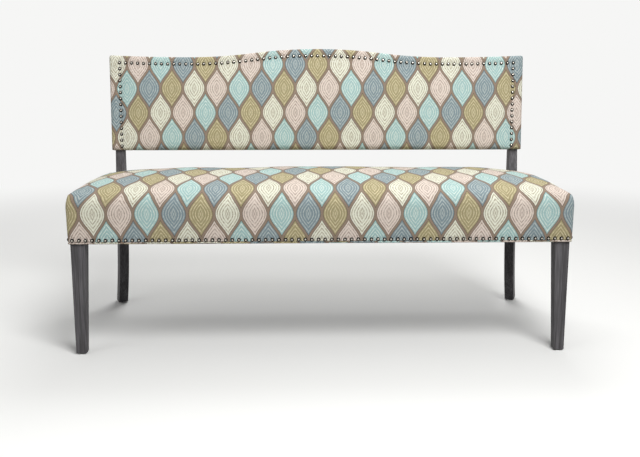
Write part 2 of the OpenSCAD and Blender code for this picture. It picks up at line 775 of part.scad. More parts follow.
// Back foam: flat behind, its front the cover's swell less the cover
module foam_back() {
    t = cover_t + soft_gap;
    pts = concat(back_loop(-webbing_t - soft_gap, t), back_front(t));
    faces = concat(back_rim_faces(back_rim_count), grid_faces(back_count_x, back_count_y, back_rim_count),
        cap_faces(back_count_x, back_count_y));
    in_back() polyhedron(pts, faces, convexity = 4);
}

// Padding down the outer sides of the posts, out to the wrapped cover
module side_padding() {
    t = cover_t + soft_gap;
    top = crest(panel_half) - back_corner_r;
    in_back() both_sides() translate([0, post_d - soft_gap, 0]) rotate([90, 0, 0])
        linear_extrude(post_d - soft_gap + webbing_t)
        polygon([[post_out + soft_gap, t], [half_at(t) - t, t], [half_at(top) - t, top],
            [post_out + soft_gap, top]]);
}

// Inside back cover: swells inside its nailed border and wraps over the edges to the back
module cover_back() {
    half = back_rim_count + (back_count_x + 1) * (back_count_y + 1);
    pts = concat(back_loop(panel_rim, 0), back_front(0), back_loop(panel_rim, cover_t),
        back_front(cover_t));
    skin = concat(back_rim_faces(back_rim_count), grid_faces(back_count_x, back_count_y, back_rim_count));
    lining = [for (f = turned(skin)) f + [half, half, half]];
    rim = flat([for (c = [0:back_rim_count - 1]) let (d = (c + 1) % back_rim_count)
        split([c, d, half + d, half + c])]);
    difference() {
        in_back() polyhedron(pts, concat(skin, lining, rim), convexity = 6);
        post_slots(soft_gap, 0);
    }
}

// Outside back: a stiff liner on the posts and rails, and a cover that hides the wrapped edges
module panel_outline(inset) {
    corner = back_corner_r - inset;
    half_top = half_at(crest(panel_half)) - inset;
    arc_h = crest(half_top) - inset - corner;
    right = [for (a = [0:15:75]) [half_top + corner * (cos(a) - 1), arc_h + corner * sin(a)]];
    polygon(concat([[inset - half_at(inset), inset], [half_at(inset) - inset, inset]], right,
        outline_top(half_top - corner, inset, outline_count),
        [for (k = [len(right) - 1:-1:0]) [-right[k].x, right[k].y]]));
}

module back_liner() {
    in_back() translate([0, post_d + liner_t, 0]) rotate([90, 0, 0])
        linear_extrude(liner_t) panel_outline(cover_t + soft_gap);
}

module back_outside() {
    in_back() translate([0, panel_rim + soft_gap / 2 + cover_t, 0]) rotate([90, 0, 0])
        linear_extrude(cover_t) panel_outline(0);
}

// Nail rows of the back: one follows the top edge, one runs down each side
top_nail_reach = half_at(crest(panel_half) - nail_top_in) - nail_side_in;
module back_nail(u, w) {
    in_back() translate([u, -pad_t(u, w), w]) rotate([90, 0, 0]) nail();
}

module back_top_row() {
    n = round(2 * top_nail_reach / back_nail_pitch);
    for (k = [0:n]) let (u = top_nail_reach * (2 * k / n - 1)) back_nail(u, crest(u) - nail_top_in);
}

module back_side_row() {
    high = crest(top_nail_reach) - nail_top_in;
    low = border_foot_roll + nail_r / 4;
    n = round((high - low) / back_nail_pitch);
    for (k = [1:n]) let (w = high - (high - low) * k / n) back_nail(half_at(w) - nail_side_in, w);
}

module front_leg_left() { color("dimgray") on_left() front_leg(); }
module front_leg_right() { color("dimgray") front_leg(); }
module rear_leg_left() { color("dimgray") on_left() rear_leg(); }
module rear_leg_right() { color("dimgray") rear_leg(); }
module glide_front_left() { color("silver") placed() on_left() front_glide_at() glide(); }
module glide_front_right() { color("silver") placed() front_glide_at() glide(); }
module glide_rear_left() { color("silver") placed() on_left() rear_glide_at() glide(); }
module glide_rear_right() { color("silver") placed() rear_glide_at() glide(); }
module seat_front_rail() { color("burlywood") front_rail(); }
module seat_rear_rail() { color("burlywood") rear_rail(); }
module seat_side_rail_left() { color("burlywood") on_left() side_rail(); }
module seat_side_rail_right() { color("burlywood") side_rail(); }
module seat_cross_rails() { color("burlywood") cross_rails(); }
module seat_corner_blocks() { color("tan") corner_blocks(); }
module seat_dowels() {
    color("wheat") placed() both_sides() {
        front_dowels(0);
        rear_rail_dowels(0);
    }
}
module cross_rail_screws() { color("silver") placed() cross_screw_holes(0); }
module post_bolts() { color("silver") placed() both_sides() bolt_places() bolt(); }
module post_nuts() { color("silver") placed() both_sides() bolt_places() nut_and_washer(); }
module seat_webbing_long() { color("peru") webbing_long(); }
module seat_webbing_cross() { color("peru") webbing_cross(); }
module seat_deck() { color("tan") deck(); }
module seat_foam() { color("lightyellow") foam_seat(); }
module seat_wadding() { color("white") wadding(); }
module seat_cover() { color("rosybrown") cover_seat(); }
module seat_welt() { color("rosybrown") welt(); }
module seat_nails_front() { color("darkgray") seat_front_row(); }
module seat_nails_left() { color("darkgray") on_left() seat_side_row(); }
module seat_nails_right() { color("darkgray") seat_side_row(); }
module dust_cover() { color("black") dust_sheet(); }
module back_top_rail() { color("burlywood") top_rail(); }
module back_bottom_rail() { color("burlywood") bottom_rail(); }
module back_uprights() { color("burlywood") uprights(); }
module back_dowels() {
    color("wheat") both_sides() {
        back_rail_dowels(0);
        upright_dowels(0);
    }
}
module back_webbing() { color("peru") webbing_back(); }
module back_foam() { color("lightyellow") foam_back(); }
module back_side_padding() { color("white") side_padding(); }
module back_cover() { color("rosybrown") cover_back(); }
module outside_back_liner() { color("tan") back_liner(); }
module outside_back_cover() { color("rosybrown") back_outside(); }
module back_nails_top() { color("darkgray") back_top_row(); }
module back_nails_left() { color("darkgray") on_left() back_side_row(); }
module back_nails_right() { color("darkgray") back_side_row(); }

front_leg_left();
front_leg_right();
rear_leg_left();
rear_leg_right();
glide_front_left();
glide_front_right();
glide_rear_left();
glide_rear_right();
seat_front_rail();
seat_rear_rail();
seat_side_rail_left();
seat_side_rail_right();
seat_cross_rails();
seat_corner_blocks();
seat_dowels();
cross_rail_screws();
post_bolts();
post_nuts();
seat_webbing_long();
seat_webbing_cross();
seat_deck();
seat_foam();
seat_wadding();
seat_cover();
seat_welt();
seat_nails_front();
seat_nails_left();
seat_nails_right();
dust_cover();
back_top_rail();
back_bottom_rail();
back_uprights();
back_dowels();
back_webbing();
back_foam();
back_side_padding();
back_cover();
outside_back_liner();
outside_back_cover();
back_nails_top();
back_nails_left();
back_nails_right();
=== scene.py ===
import math

import bmesh
import bpy
import numpy as np
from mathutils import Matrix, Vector


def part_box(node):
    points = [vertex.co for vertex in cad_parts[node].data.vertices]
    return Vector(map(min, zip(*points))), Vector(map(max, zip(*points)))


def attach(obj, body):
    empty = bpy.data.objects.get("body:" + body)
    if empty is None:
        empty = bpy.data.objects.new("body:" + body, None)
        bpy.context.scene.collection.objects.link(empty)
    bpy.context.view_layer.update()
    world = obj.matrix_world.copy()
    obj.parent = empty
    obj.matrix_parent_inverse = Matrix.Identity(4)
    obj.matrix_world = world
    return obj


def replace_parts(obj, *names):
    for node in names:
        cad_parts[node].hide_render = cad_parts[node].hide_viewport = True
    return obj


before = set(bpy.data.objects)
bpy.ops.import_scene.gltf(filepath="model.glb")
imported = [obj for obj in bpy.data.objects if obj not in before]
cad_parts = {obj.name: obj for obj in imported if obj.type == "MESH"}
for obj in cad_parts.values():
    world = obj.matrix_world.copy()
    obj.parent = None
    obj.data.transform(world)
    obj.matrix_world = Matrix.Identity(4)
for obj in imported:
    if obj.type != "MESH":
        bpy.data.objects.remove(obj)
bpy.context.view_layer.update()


# The studio: the camera stands a little left of the bench's middle, at the photograph's angle.
# A large soft lamp hangs in front to the upper right, weaker ones to the left and behind, over a
# pale floor that fades into a pale backdrop.
scene = bpy.context.scene
scene.view_settings.view_transform = "Standard"
camera = bpy.data.objects.new("Camera", bpy.data.cameras.new("Camera"))
scene.collection.objects.link(camera)
scene.camera = camera
look_down, look_right = 0.1831, 0.0258
camera.location = (-0.0652, -2.6226, 0.8045)
camera.rotation_euler = (math.pi / 2 - look_down, 0, -look_right)
camera.data.sensor_width = 36
camera.data.lens = 46.11


def paint(red, green, blue):
    """A colour card's red, green and blue, from 0 to 255, as the light it gives back."""
    shares = (red / 255, green / 255, blue / 255)
    return tuple(c / 12.92 if c < 0.04045 else ((c + 0.055) / 1.055) ** 2.4 for c in shares) + (1,)


def lamp(name, place, size, power):
    """A soft round lamp that looks at the middle of the bench."""
    light = bpy.data.lights.new(name, "AREA")
    light.shape = "DISK"
    light.size, light.energy = size, power
    hung = bpy.data.objects.new(name, light)
    scene.collection.objects.link(hung)
    hung.location = place
    hung.rotation_euler = (Vector((0, 0, 0.5)) - Vector(place)).to_track_quat("-Z", "Y").to_euler()


lamp("Key_lamp", (0.8, -2.2, 2.9), 1.7, 102)
lamp("Fill_lamp", (-2.4, -2.0, 1.8), 2.2, 12)
lamp("Back_lamp", (0.2, 2.0, 2.8), 2.0, 48)


class Wire:
    """A node's output; sums written on it add Math nodes to its finish."""

    def __init__(self, finish, socket):
        self.finish, self.socket = finish, socket

    def math(self, operation, *others):
        return self.finish.node("ShaderNodeMath", {"operation": operation}, dict(enumerate((self, *others))))

    def __add__(self, other):
        return self.math("ADD", other)

    def __sub__(self, other):
        return self.math("SUBTRACT", other)

    def __mul__(self, other):
        return self.math("MULTIPLY", other)

    def __truediv__(self, other):
        return self.math("DIVIDE", other)

    def __mod__(self, other):
        return self.math("FLOORED_MODULO", other)

    def __abs__(self):
        return self.math("ABSOLUTE")

    def __rsub__(self, other):
        return self * -1 + other

    def __rtruediv__(self, other):
        return self.math("POWER", -1) * other

    __radd__, __rmul__ = __add__, __mul__

    def band(self, low, high):
        """Rises smoothly from 0 at low to 1 at high."""
        return self.finish.node("ShaderNodeMapRange", {"interpolation_type": "SMOOTHSTEP"},
                                {0: self, 1: low, 2: high, 3: 0, 4: 1})

    def threads(self, pitch):
        """The rise and fall of woven threads that lie side by side at that pitch."""
        return (self * (2 * math.pi / pitch)).math("SINE")


class Nodes:
    """The nodes of a finish or of the studio's air, with one method that adds any of them."""

    def __init__(self, owner):
        owner.use_nodes = True
        self.tree = owner.node_tree

    def feed(self, socket, value):
        if isinstance(value, Wire):
            self.tree.links.new(value.socket, socket)
        else:
            socket.default_value = value

    def node(self, kind, settings, inputs, output=0):
        made = self.tree.nodes.new(kind)
        for name, value in settings.items():
            if name == "stops":
                while len(made.color_ramp.elements) < len(value):
                    made.color_ramp.elements.new(0.5)
                for stop, (place, colour) in zip(made.color_ramp.elements, value):
                    stop.position, stop.color = place, paint(*colour)
            elif name == "steps":
                made.color_ramp.interpolation = value
            else:
                setattr(made, name, value)
        for name, value in inputs.items():
            self.feed(made.inputs[name], value)
        return Wire(self, made.outputs[output])

    def either(self, share, first, second):
        return self.node("ShaderNodeMixShader", {}, {0: share, 1: first, 2: second})

    def seen(self):
        """1 for what the camera or a gloss shows, 0 for what only lights the bench."""
        straight, mirrored = (self.node("ShaderNodeLightPath", {}, {}, ray)
                              for ray in ("Is Camera Ray", "Is Glossy Ray"))
        return straight.math("MAXIMUM", mirrored)

    def show(self, shader, end="Material Output"):
        self.feed(self.tree.nodes[end].inputs["Surface"], shader)


class Finish(Nodes):
    """The material of a piece."""

    def __init__(self, name, roughness, metallic=0.0):
        self.material = bpy.data.materials.new(name)
        super().__init__(self.material)
        self.shader = self.tree.nodes["Principled BSDF"]
        self.set("Roughness", roughness)
        self.set("Metallic", metallic)

    def set(self, name, value):
        self.feed(self.shader.inputs[name], value)

    def mix(self, share, first, second, blend="MIX"):
        return self.node("ShaderNodeMix", {"data_type": "RGBA", "blend_type": blend, "clamp_factor": True},
                         {0: share, 6: first, 7: second}, 2)

    def coloured(self, share, first, second):
        self.set("Base Color", self.mix(share, paint(*first), paint(*second)))

    def noise(self, where, scale, detail=2.0, rough=0.5):
        return self.node("ShaderNodeTexNoise", {}, {"Vector": where, "Scale": scale, "Detail": detail,
                                                    "Roughness": rough})

    def stretched(self, where, by):
        return self.node("ShaderNodeVectorMath", {"operation": "MULTIPLY"}, {0: where, 1: by})

    def body(self):
        return self.node("ShaderNodeTexCoord", {}, {}, "Object")

    def roll(self):
        """The place on the roll of cloth, in metres."""
        return self.node("ShaderNodeUVMap", {"uv_map": "Cloth"}, {})

    def two_ways(self, where):
        return [self.node("ShaderNodeSeparateXYZ", {}, {0: where}, way) for way in (0, 1)]

    def tones(self, share, stops, steps="LINEAR"):
        return self.node("ShaderNodeValToRGB", {"steps": steps, "stops": stops}, {0: share})

    def relief(self, height, distance, strength=1.0):
        self.set("Normal", self.node("ShaderNodeBump", {}, {"Height": height, "Distance": distance,
                                                            "Strength": strength}, "Normal"))


def shaped(name, at, faces, uv=()):
    """A mesh; a cloth one keeps, at each corner, its place on the roll of cloth."""
    mesh = bpy.data.meshes.new(name)
    mesh.from_pydata([tuple(map(float, place)) for place in at], [], faces)
    if uv:
        layer = mesh.uv_layers.new(name="Cloth")
        layer.data.foreach_set("uv", np.array([c for face in uv for c in face], np.float32).ravel())
    mesh.update()
    return mesh


backdrop = paint(246, 246, 245)
scene.world = bpy.data.worlds.new("Studio")
air = Nodes(scene.world)
air.show(air.either(air.seen(),
                    air.node("ShaderNodeBackground", {}, {"Color": (1, 1, 1, 1), "Strength": 0.31}),
                    air.node("ShaderNodeBackground", {}, {"Color": backdrop})), "World Output")

floor = Finish("Studio_floor", 0.9)
floor_seen = floor.seen()
floor.coloured(floor_seen, (128, 128, 127), (240, 240, 238))
far_off = floor.node("ShaderNodeVectorMath", {"operation": "LENGTH"}, {0: floor.body()}, "Value")
faded = floor.either(far_off.band(1.3, 4.2) * floor_seen, Wire(floor, floor.shader.outputs[0]),
                     floor.node("ShaderNodeEmission", {}, {"Color": backdrop}))
from_below = floor.node("ShaderNodeNewGeometry", {}, {}, "Backfacing")
floor.show(floor.either(from_below, faded, floor.node("ShaderNodeBsdfTransparent", {}, {})))
floor_mesh = shaped("Studio_floor", [(-60, -60, 0), (60, -60, 0), (60, 60, 0), (-60, 60, 0)], [(0, 1, 2, 3)])
floor_mesh.materials.append(floor.material)
studio_floor = bpy.data.objects.new("Studio_floor", floor_mesh)
scene.collection.objects.link(studio_floor)


# Legs: hardwood, the front pair square and tapered on two faces, the rear pair cut in one piece
# with the back posts and swept. Stained grey, brushed so the grain stands out, edges just eased.
def dress(name, finish, eased=0.0):
    """Gives a node of the frame its finish, and eases its sharp edges."""
    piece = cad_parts[name]
    for place in piece.material_slots:
        place.material = finish.material
    if eased:
        edge = piece.modifiers.new("Eased_edges", "BEVEL")
        edge.width, edge.segments, edge.limit_method, edge.angle_limit = eased, 2, "ANGLE", math.radians(40)


leg_wood = Finish("Weathered_leg_wood", 0.62)
leg_wood.set("Specular IOR Level", 0.22)
leg_at = leg_wood.body()
pores = leg_wood.noise(leg_wood.stretched(leg_at, (420, 420, 9)), 1, 4, 0.62)
bands = leg_wood.noise(leg_wood.stretched(leg_at, (70, 70, 2.2)), 1, 3, 0.55)
cloudy = leg_wood.noise(leg_at, 7, 2)
stain = leg_wood.tones(pores * 0.62 + bands * 0.38, [(0.30, (44, 42, 42)), (0.46, (74, 72, 73)),
                                                     (0.60, (106, 104, 107)), (0.75, (144, 143, 147))])
leg_wood.set("Base Color", leg_wood.mix(cloudy.band(0.35, 0.75) * 0.35, stain, paint(86, 84, 88)))
leg_wood.set("Roughness", 0.5 + pores * 0.25)
leg_wood.relief(pores * 0.7 + bands * 0.3, 0.0006, 0.7)
for leg in ("front_leg_left", "front_leg_right", "rear_leg_left", "rear_leg_right"):
    dress(leg, leg_wood, 0.0012)

# Glides: zinc-plated steel buttons, each with a pin driven up into its foot.
# They are scuffed dull where they slide on the floor.
steel = Finish("Zinc_plated_steel", 0.32, 1.0)
steel_at = steel.body()
mottle = steel.noise(steel_at, 180, 3, 0.6)
scuff = steel.noise(steel.stretched(steel_at, (900, 60, 900)), 1, 2)
steel.coloured(mottle, (168, 170, 172), (208, 208, 204))
steel.set("Roughness", 0.22 + mottle * 0.2 + scuff * 0.1)
steel.relief(scuff, 0.0001, 0.5)
for glide in ("glide_front_left", "glide_front_right", "glide_rear_left", "glide_rear_right"):
    dress(glide, steel)


# Seat frame and back frame: planed beech rails and blocks, left bare under the covers.
# Each board's grain runs along its length, so there is one finish for each direction.
def beech(name, stretch):
    finish = Finish(name, 0.66)
    grain_at = finish.stretched(finish.body(), stretch)
    fine, wide = finish.noise(grain_at, 1, 4, 0.6), finish.noise(grain_at, 0.22, 2)
    board = finish.tones(fine * 0.55 + wide * 0.45, [(0.3, (176, 137, 98)), (0.5, (206, 170, 128)),
                                                     (0.72, (224, 193, 154))])
    finish.set("Base Color", finish.mix(fine.band(0.60, 0.72) * 0.4, board, paint(150, 108, 74)))
    finish.set("Roughness", 0.55 + fine * 0.2)
    finish.relief(fine, 0.0004, 0.6)
    return finish


for lie, stretch, boards in (
        ("Beech_across", (8, 260, 260), "seat_front_rail seat_rear_rail back_top_rail back_bottom_rail"),
        ("Beech_front_to_back", (260, 8, 260), "seat_side_rail_left seat_side_rail_right seat_cross_rails"),
        ("Beech_upright", (260, 260, 8), "seat_corner_blocks back_uprights")):
    wood = beech(lie, stretch)
    for board in boards.split():
        dress(board, wood, 0.0010)

# Dowels, screws and bolts: fluted birch pins glued across the joints, countersunk screws into the
# cross rails, and carriage bolts with nuts and washers that clamp the side rails to the posts.
dress("seat_dowels", beech("Birch_pins", (120, 120, 120)))
dress("back_dowels", beech("Birch_pins_back", (120, 120, 120)))
for fixing in ("cross_rail_screws", "post_bolts", "post_nuts"):
    dress(fixing, steel)


# Webbing: jute straps with brown marker stripes, woven over and under each other on the seat, the
# ends folded back and tacked to the rails; eight upright ones close the back's opening.
def joined_on(mesh, finish, smooth=True):
    """A new piece of the bench in its finish, riding with the frame."""
    piece = bpy.data.objects.new(mesh.name, mesh)
    scene.collection.objects.link(piece)
    mesh.materials.clear()
    mesh.materials.append(finish.material)
    mesh.polygons.foreach_set("use_smooth", [smooth] * len(mesh.polygons))
    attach(piece, "root")
    return piece


def arc_length(line):
    """How far along its line each place lies."""
    return np.concatenate([[0], np.cumsum(np.linalg.norm(np.diff(line, axis=0), axis=1))])


strap_half, strap_stripe, strap_thick = 0.030, 0.010, 0.00062


def straps(name, lines, across, node):
    """Flat straps that follow their lines, side by side in one piece."""
    at, faces, uv = [], [], []
    side_way = np.array(across)
    wide = (-strap_half, -strap_stripe, strap_stripe, strap_half)
    section = [(w, -1) for w in wide] + [(w, 1) for w in wide[::-1]]
    for line in lines:
        line = np.array(line)
        ahead = np.gradient(line, axis=0)
        ahead /= np.maximum(np.linalg.norm(ahead, axis=1, keepdims=True), 1e-9)
        run = arc_length(line)
        first = len(at)
        for place, out in zip(line, np.cross(ahead, side_way)):
            at += [place + side_way * w + out * face * strap_thick for w, face in section]
        for k in range(len(line) - 1):
            for c in range(8):
                n = (c + 1) % 8
                a = first + 8 * k
                faces.append([a + c, a + n, a + 8 + n, a + 8 + c])
                uv.append([(section[i][0], run[j]) for i, j in ((c, k), (n, k), (n, k + 1), (c, k + 1))])
    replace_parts(joined_on(shaped(name, at, faces, uv), jute, False), node)


jute = Finish("Jute_webbing", 0.9)
jute_at = jute.roll()
jute_across, jute_run = jute.two_ways(jute_at)
jute_hairs = jute.noise(jute.stretched(jute_at, (1400, 500, 1)), 1, 3, 0.6)
jute_stripe = 1 - abs(abs(jute_across) - 0.021).band(0.0012, 0.0018)
jute_plain = jute.mix(jute_hairs, paint(146, 114, 76), paint(200, 171, 128))
jute.set("Base Color", jute.mix(jute_stripe * 0.75, jute_plain, paint(104, 66, 44)))
jute.relief(jute_across.threads(0.0024) * jute_run.threads(0.0017) * 0.3 + jute_hairs * 0.4, 0.0007, 0.8)


def woven(places, crossings, start):
    """Heights of a strap that goes over and under the ones it crosses, with its two folded ends."""
    over, resting, folded = 0.0015, 0.00075, 0.0022
    knots, levels = [places[0]], [0]
    for k, middle in enumerate(crossings):
        knots += [middle - strap_half - 0.003, middle + strap_half + 0.003]
        levels += [(start + k) % 2] * 2
    heights = np.interp(places, knots + [places[-1]], levels + [0]) * over + resting
    fold = np.array([0.024, 0.012, 0.0])
    return (np.concatenate([places[0] + fold, places, places[-1] - fold[::-1]]),
            np.concatenate([[folded] * 3, heights, [folded] * 3]))


long_low, long_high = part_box("seat_webbing_long")
cross_low, cross_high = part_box("seat_webbing_cross")
rows = np.linspace(long_low.y + strap_half, long_high.y - strap_half, 3)
columns = np.linspace(cross_low.x + strap_half, cross_high.x - strap_half, 9)
long_lines, cross_lines = [], []
for k, y in enumerate(rows):
    run, heights = woven(np.linspace(long_low.x, long_high.x, 240), columns, k)
    long_lines.append([(x, y, long_low.z + h) for x, h in zip(run, heights)])
for k, x in enumerate(columns):
    run, heights = woven(np.linspace(cross_low.y, cross_high.y, 90), rows, k + 1)
    cross_lines.append([(x, y, long_low.z + h) for y, h in zip(run, heights)])
straps("Seat_webbing_long", long_lines, (0, 1, 0), "seat_webbing_long")
straps("Seat_webbing_cross", cross_lines, (1, 0, 0), "seat_webbing_cross")

rake = math.radians(7.6)
upright_low, upright_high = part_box("back_webbing")
hang = (upright_high.z - upright_low.z) / math.cos(rake) - 0.0003
drop = np.linspace(0, hang, 40)
dip = 0.0002 * np.sin(math.pi * drop / hang)
upright_lines = [[(x, upright_low.y + 0.0008 + w * math.sin(rake) + d, upright_low.z + 0.0003 + w * math.cos(rake))
                  for w, d in zip(drop, dip)]
                 for x in np.linspace(upright_low.x + strap_half, upright_high.x - strap_half, 8)]
straps("Back_webbing", upright_lines, (1, 0, 0), "back_webbing")

# Seat deck: a sheet of hessian, stretched over the webbing and tacked round the frame, cut round
# the posts; it keeps the foam out of the straps.
hessian = Finish("Hessian", 0.92)
hessian_at = hessian.body()
hessian_x, hessian_y = hessian.two_ways(hessian_at)
hessian_hairs = hessian.noise(hessian_at, 700, 3, 0.7)
hessian_weave = hessian_x.threads(0.0026) * 0.5 + hessian_y.threads(0.0026) * 0.5
hessian.coloured(hessian_hairs * 0.6 + hessian_weave.band(-0.4, 0.9) * 0.4, (132, 104, 70), (190, 162, 118))
hessian.relief(hessian_weave * 0.5 + hessian_hairs * 0.5, 0.0008, 0.9)


def cut_sheet(name, xs, ys, height, keep):
    """A flat grid of cloth at its heights, cut where keep says no."""
    at = [(x, y, height(x, y)) for x in xs for y in ys]
    row = len(ys)
    faces = [[i * row + j, (i + 1) * row + j, (i + 1) * row + j + 1, i * row + j + 1]
             for i in range(len(xs) - 1) for j in range(row - 1)
             if keep((xs[i] + xs[i + 1]) / 2, (ys[j] + ys[j + 1]) / 2)]
    used = sorted({corner for face in faces for corner in face})
    new = {corner: k for k, corner in enumerate(used)}
    return shaped(name, [at[corner] for corner in used], [[new[corner] for corner in face] for face in faces])


def thickened(piece, thick):
    body = piece.modifiers.new("Cloth_thickness", "SOLIDIFY")
    body.thickness, body.offset = thick, 0
    return piece


post_in, post_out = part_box("seat_rear_rail")[1].x - 0.001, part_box("seat_side_rail_right")[0].x + 0.001
rear_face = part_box("seat_rear_rail")[1].y
post_front = rear_face - 0.0485
deck_low, deck_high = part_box("seat_deck")
deck_x = np.unique(np.concatenate([np.linspace(deck_low.x, deck_high.x, 97),
                                   (post_in, post_out, -post_in, -post_out)]))
deck_y = np.unique(np.append(np.linspace(deck_low.y, deck_high.y, 37), post_front))
deck_mesh = cut_sheet("Seat_deck_hessian", deck_x, deck_y,
                      lambda x, y: (deck_low.z + deck_high.z) / 2 - 0.0002 * math.sin(x * 90) * math.sin(y * 60),
                      lambda x, y: not (post_in < abs(x) < post_out and y > post_front))
seat_deck = thickened(joined_on(deck_mesh, hessian), 0.0007)
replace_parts(seat_deck, "seat_deck")

# The cover cloth: a woven tapestry with a traditional ogee lattice of pointed ovals in cream,
# pink beige, aqua, olive and slate on a taupe ground, 3 in across. Each piece of it is cut and
# laid by its place on the roll, in metres.
repeat_across, repeat_up = 0.0762, 0.165
yarns = [(234, 235, 218), (126, 145, 152), (228, 215, 204), (164, 153, 114), (160, 196, 194)]
line_yarns = [(164, 150, 122), (196, 205, 202), (164, 142, 128), (220, 210, 174), (226, 235, 226)]
brown, taupe, undyed = paint(98, 80, 68), paint(148, 130, 114), paint(170, 158, 144)
cloth = Finish("Ogee_tapestry_cloth", 0.86)
cloth.set("Specular IOR Level", 0.12)
cloth.set("Sheen Weight", 0.04)
cloth.set("Sheen Roughness", 0.5)
cloth_at = cloth.roll()
across, up = cloth.two_ways(cloth_at)

# The lattice: how far each place lies from the nearest of its wavy lines, in metres, and which of
# the two interleaved sets of ovals it is in. The five colours run slantwise through both sets.
wander = (cloth.noise(cloth_at, 260, 2) - 0.5) * 0.0016
column, row = (across + wander) / repeat_across, (up + wander) / repeat_up
side = abs((column + 0.5) % 1 - 0.5)
turn = row * (2 * math.pi)
lean = turn.math("SINE") * (math.pi * repeat_across / (2 * repeat_up))
gap = (side - 0.25 - turn.math("COSINE") * 0.25) * repeat_across / (1 + lean * lean).math("SQRT")
between = gap.math("GREATER_THAN", 0)
first = (column + 0.5).math("FLOOR") * 2 + (row + 0.5).math("FLOOR") * 4
second = column.math("FLOOR") * 2 + row.math("FLOOR") * 4 + 3
tint = ((first + (second - first) * between) % 5 + 0.5) / 5
oval, line_tone = (cloth.tones(tint, [(k / 5, colour) for k, colour in enumerate(five)], "CONSTANT")
                   for five in (yarns, line_yarns))

# In each oval, plain lines nested inside its edge round a small eye, worn where the yarn is hairy;
# then the taupe ground with its brown edging, and the threads of the weave over all.
inside = abs(gap)
near_x = side * repeat_across * (1 - between) + (0.5 - side) * repeat_across * between
near_y = abs((row + 0.5 - between * 0.5) % 1 - 0.5) * repeat_up
lozenge = near_x / 0.0050 + near_y / 0.0150
worn_yarn = cloth.noise(cloth_at, 90, 3, 0.7).band(0.38, 0.6) * 0.55 + 0.35
contour = abs(((inside - 0.0013) / 0.0074) % 1 - 0.5)
nested = contour.band(0.25, 0.36) * inside.band(0.0060, 0.0068) * lozenge.band(1.5, 1.8) * worn_yarn
eye = (1 - abs(lozenge - 1.15).band(0.14, 0.28)) * 0.8 + (1 - lozenge.band(0.35, 0.55)) * 0.7
edging = 1 - abs(inside - 0.0037).band(0.0004, 0.0010)
ground = 1 - inside.band(0.0032, 0.0038)
rib, thread = up.threads(0.0011), across.threads(0.0008)
slub = cloth.noise(cloth.stretched(cloth_at, (160, 1500, 1)), 1, 2, 0.6)
fleck = cloth.noise(cloth.stretched(cloth_at, (900, 700, 1)), 1, 2, 0.6)
speckle = cloth.noise(cloth_at, 300, 3, 0.75)
clouds = cloth.noise(cloth_at, 11, 2)
drawn = cloth.mix(nested + eye, oval, line_tone)
drawn = cloth.mix(ground, drawn, taupe)
drawn = cloth.mix(edging * 0.85, drawn, brown)
drawn = cloth.mix(fleck.band(0.50, 0.66) * 0.36, drawn, undyed)
shade = (rib * 0.04 + thread * 0.03 + (slub - 0.5) * 0.5 + (speckle - 0.5) * 0.5 + (clouds - 0.5) * 0.16
         + 1.10)
grey_shade = cloth.node("ShaderNodeCombineXYZ", {}, {0: shade, 1: shade, 2: shade})
cloth.set("Base Color", cloth.mix(1.0, drawn, grey_shade, "MULTIPLY"))
cloth.relief(rib * 0.25 + thread * 0.2 + slub * 0.6 + ground * -0.5 + edging * 0.35, 0.0005, 0.9)


# Seat pad: the tight cover over foam on a webbed frame. It crowns between its edges, is drawn in
# at the nailed lower edge, turns under onto the rails, and is slit round the two back posts.
seat_low, seat_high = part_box("seat_cover")
half_w, half_d = seat_high.x, (seat_high.y - seat_low.y) / 2
mid_y, base_z = (seat_high.y + seat_low.y) / 2, seat_low.z
rim_in, rim_z, top_z = 0.0065, 0.1286, 0.134
rim_x, rim_y = half_w - rim_in, half_d - rim_in
wall_z, wall_in = np.array([(0, 1), (11, 1), (40.2, 0.25), (73.7, 0), (115.2, 1), (128.6, 5)]).T / 1000


def swell(at, middle, reach):
    """1 at its middle, fading smoothly away over about twice its reach."""
    return np.exp(-(((at - middle) / reach) ** 2))


def crown(x, y):
    """How far the seat stands above its rim: fullest a little ahead of its middle, and at its ends."""
    along = 0.0485 * (1 - np.minimum(1, np.abs(x) / half_w) ** 8.5) + 0.0055 * swell(x, 0, 0.15)
    fuller = 0.0018 * swell(x, -0.665, 0.055) + 0.0025 * swell(x, 0.69, 0.04)
    deep = np.clip(y / half_d, -1, 1)
    deep = deep + 0.125 * (1 - deep**2)
    return (along + fuller) * (1 - np.abs(deep) ** 2.05) ** 0.95


def eased_line(at, knots, values):
    """A smooth line through the knots, read at each place in at."""
    slopes = np.gradient(values, knots)
    k = np.clip(np.searchsorted(knots, at) - 1, 0, len(knots) - 2)
    span = knots[k + 1] - knots[k]
    t = np.clip((at - knots[k]) / span, 0, 1)
    return ((2 * t**3 - 3 * t**2 + 1) * values[k] + (t**3 - 2 * t**2 + t) * span * slopes[k]
            + (3 * t**2 - 2 * t**3) * values[k + 1] + (t**3 - t**2) * span * slopes[k + 1])


def rounded(x, y, half_x, half_y, radius):
    """A point of a rectangle's plan, moved so that the corners are round."""
    dx, dy = abs(x) - half_x + radius, abs(y) - half_y + radius
    if min(dx, dy) <= 0:
        return x, y
    out = max(dx, dy) / math.hypot(dx, dy)
    return math.copysign(half_x - radius + dx * out, x), math.copysign(half_y - radius + dy * out, y)


def spaced(start, *runs):
    """Places along a line: each run is its end and its number of steps."""
    line = [start]
    for end, steps in runs:
        line += list(np.linspace(line[-1], end, steps + 1)[1:])
    return np.array(line)


def seat_top(x, y):
    """A point of the seat's top, which rolls over to the walls near its rim; its left end is fuller."""
    px, py = rounded(x, y, rim_x, rim_y, 0.0075)
    inset = min(half_w - abs(px), half_d - abs(py))
    ear = 0.0045 * swell(px, -0.7312, 0.04)
    full, edge = top_z + crown(px, py) + ear, rim_z + ear
    rolled = min(1, (inset - 0.005) / 0.009)
    return px, py, edge + (full - edge) * math.sin(rolled * math.pi / 2) ** 0.8


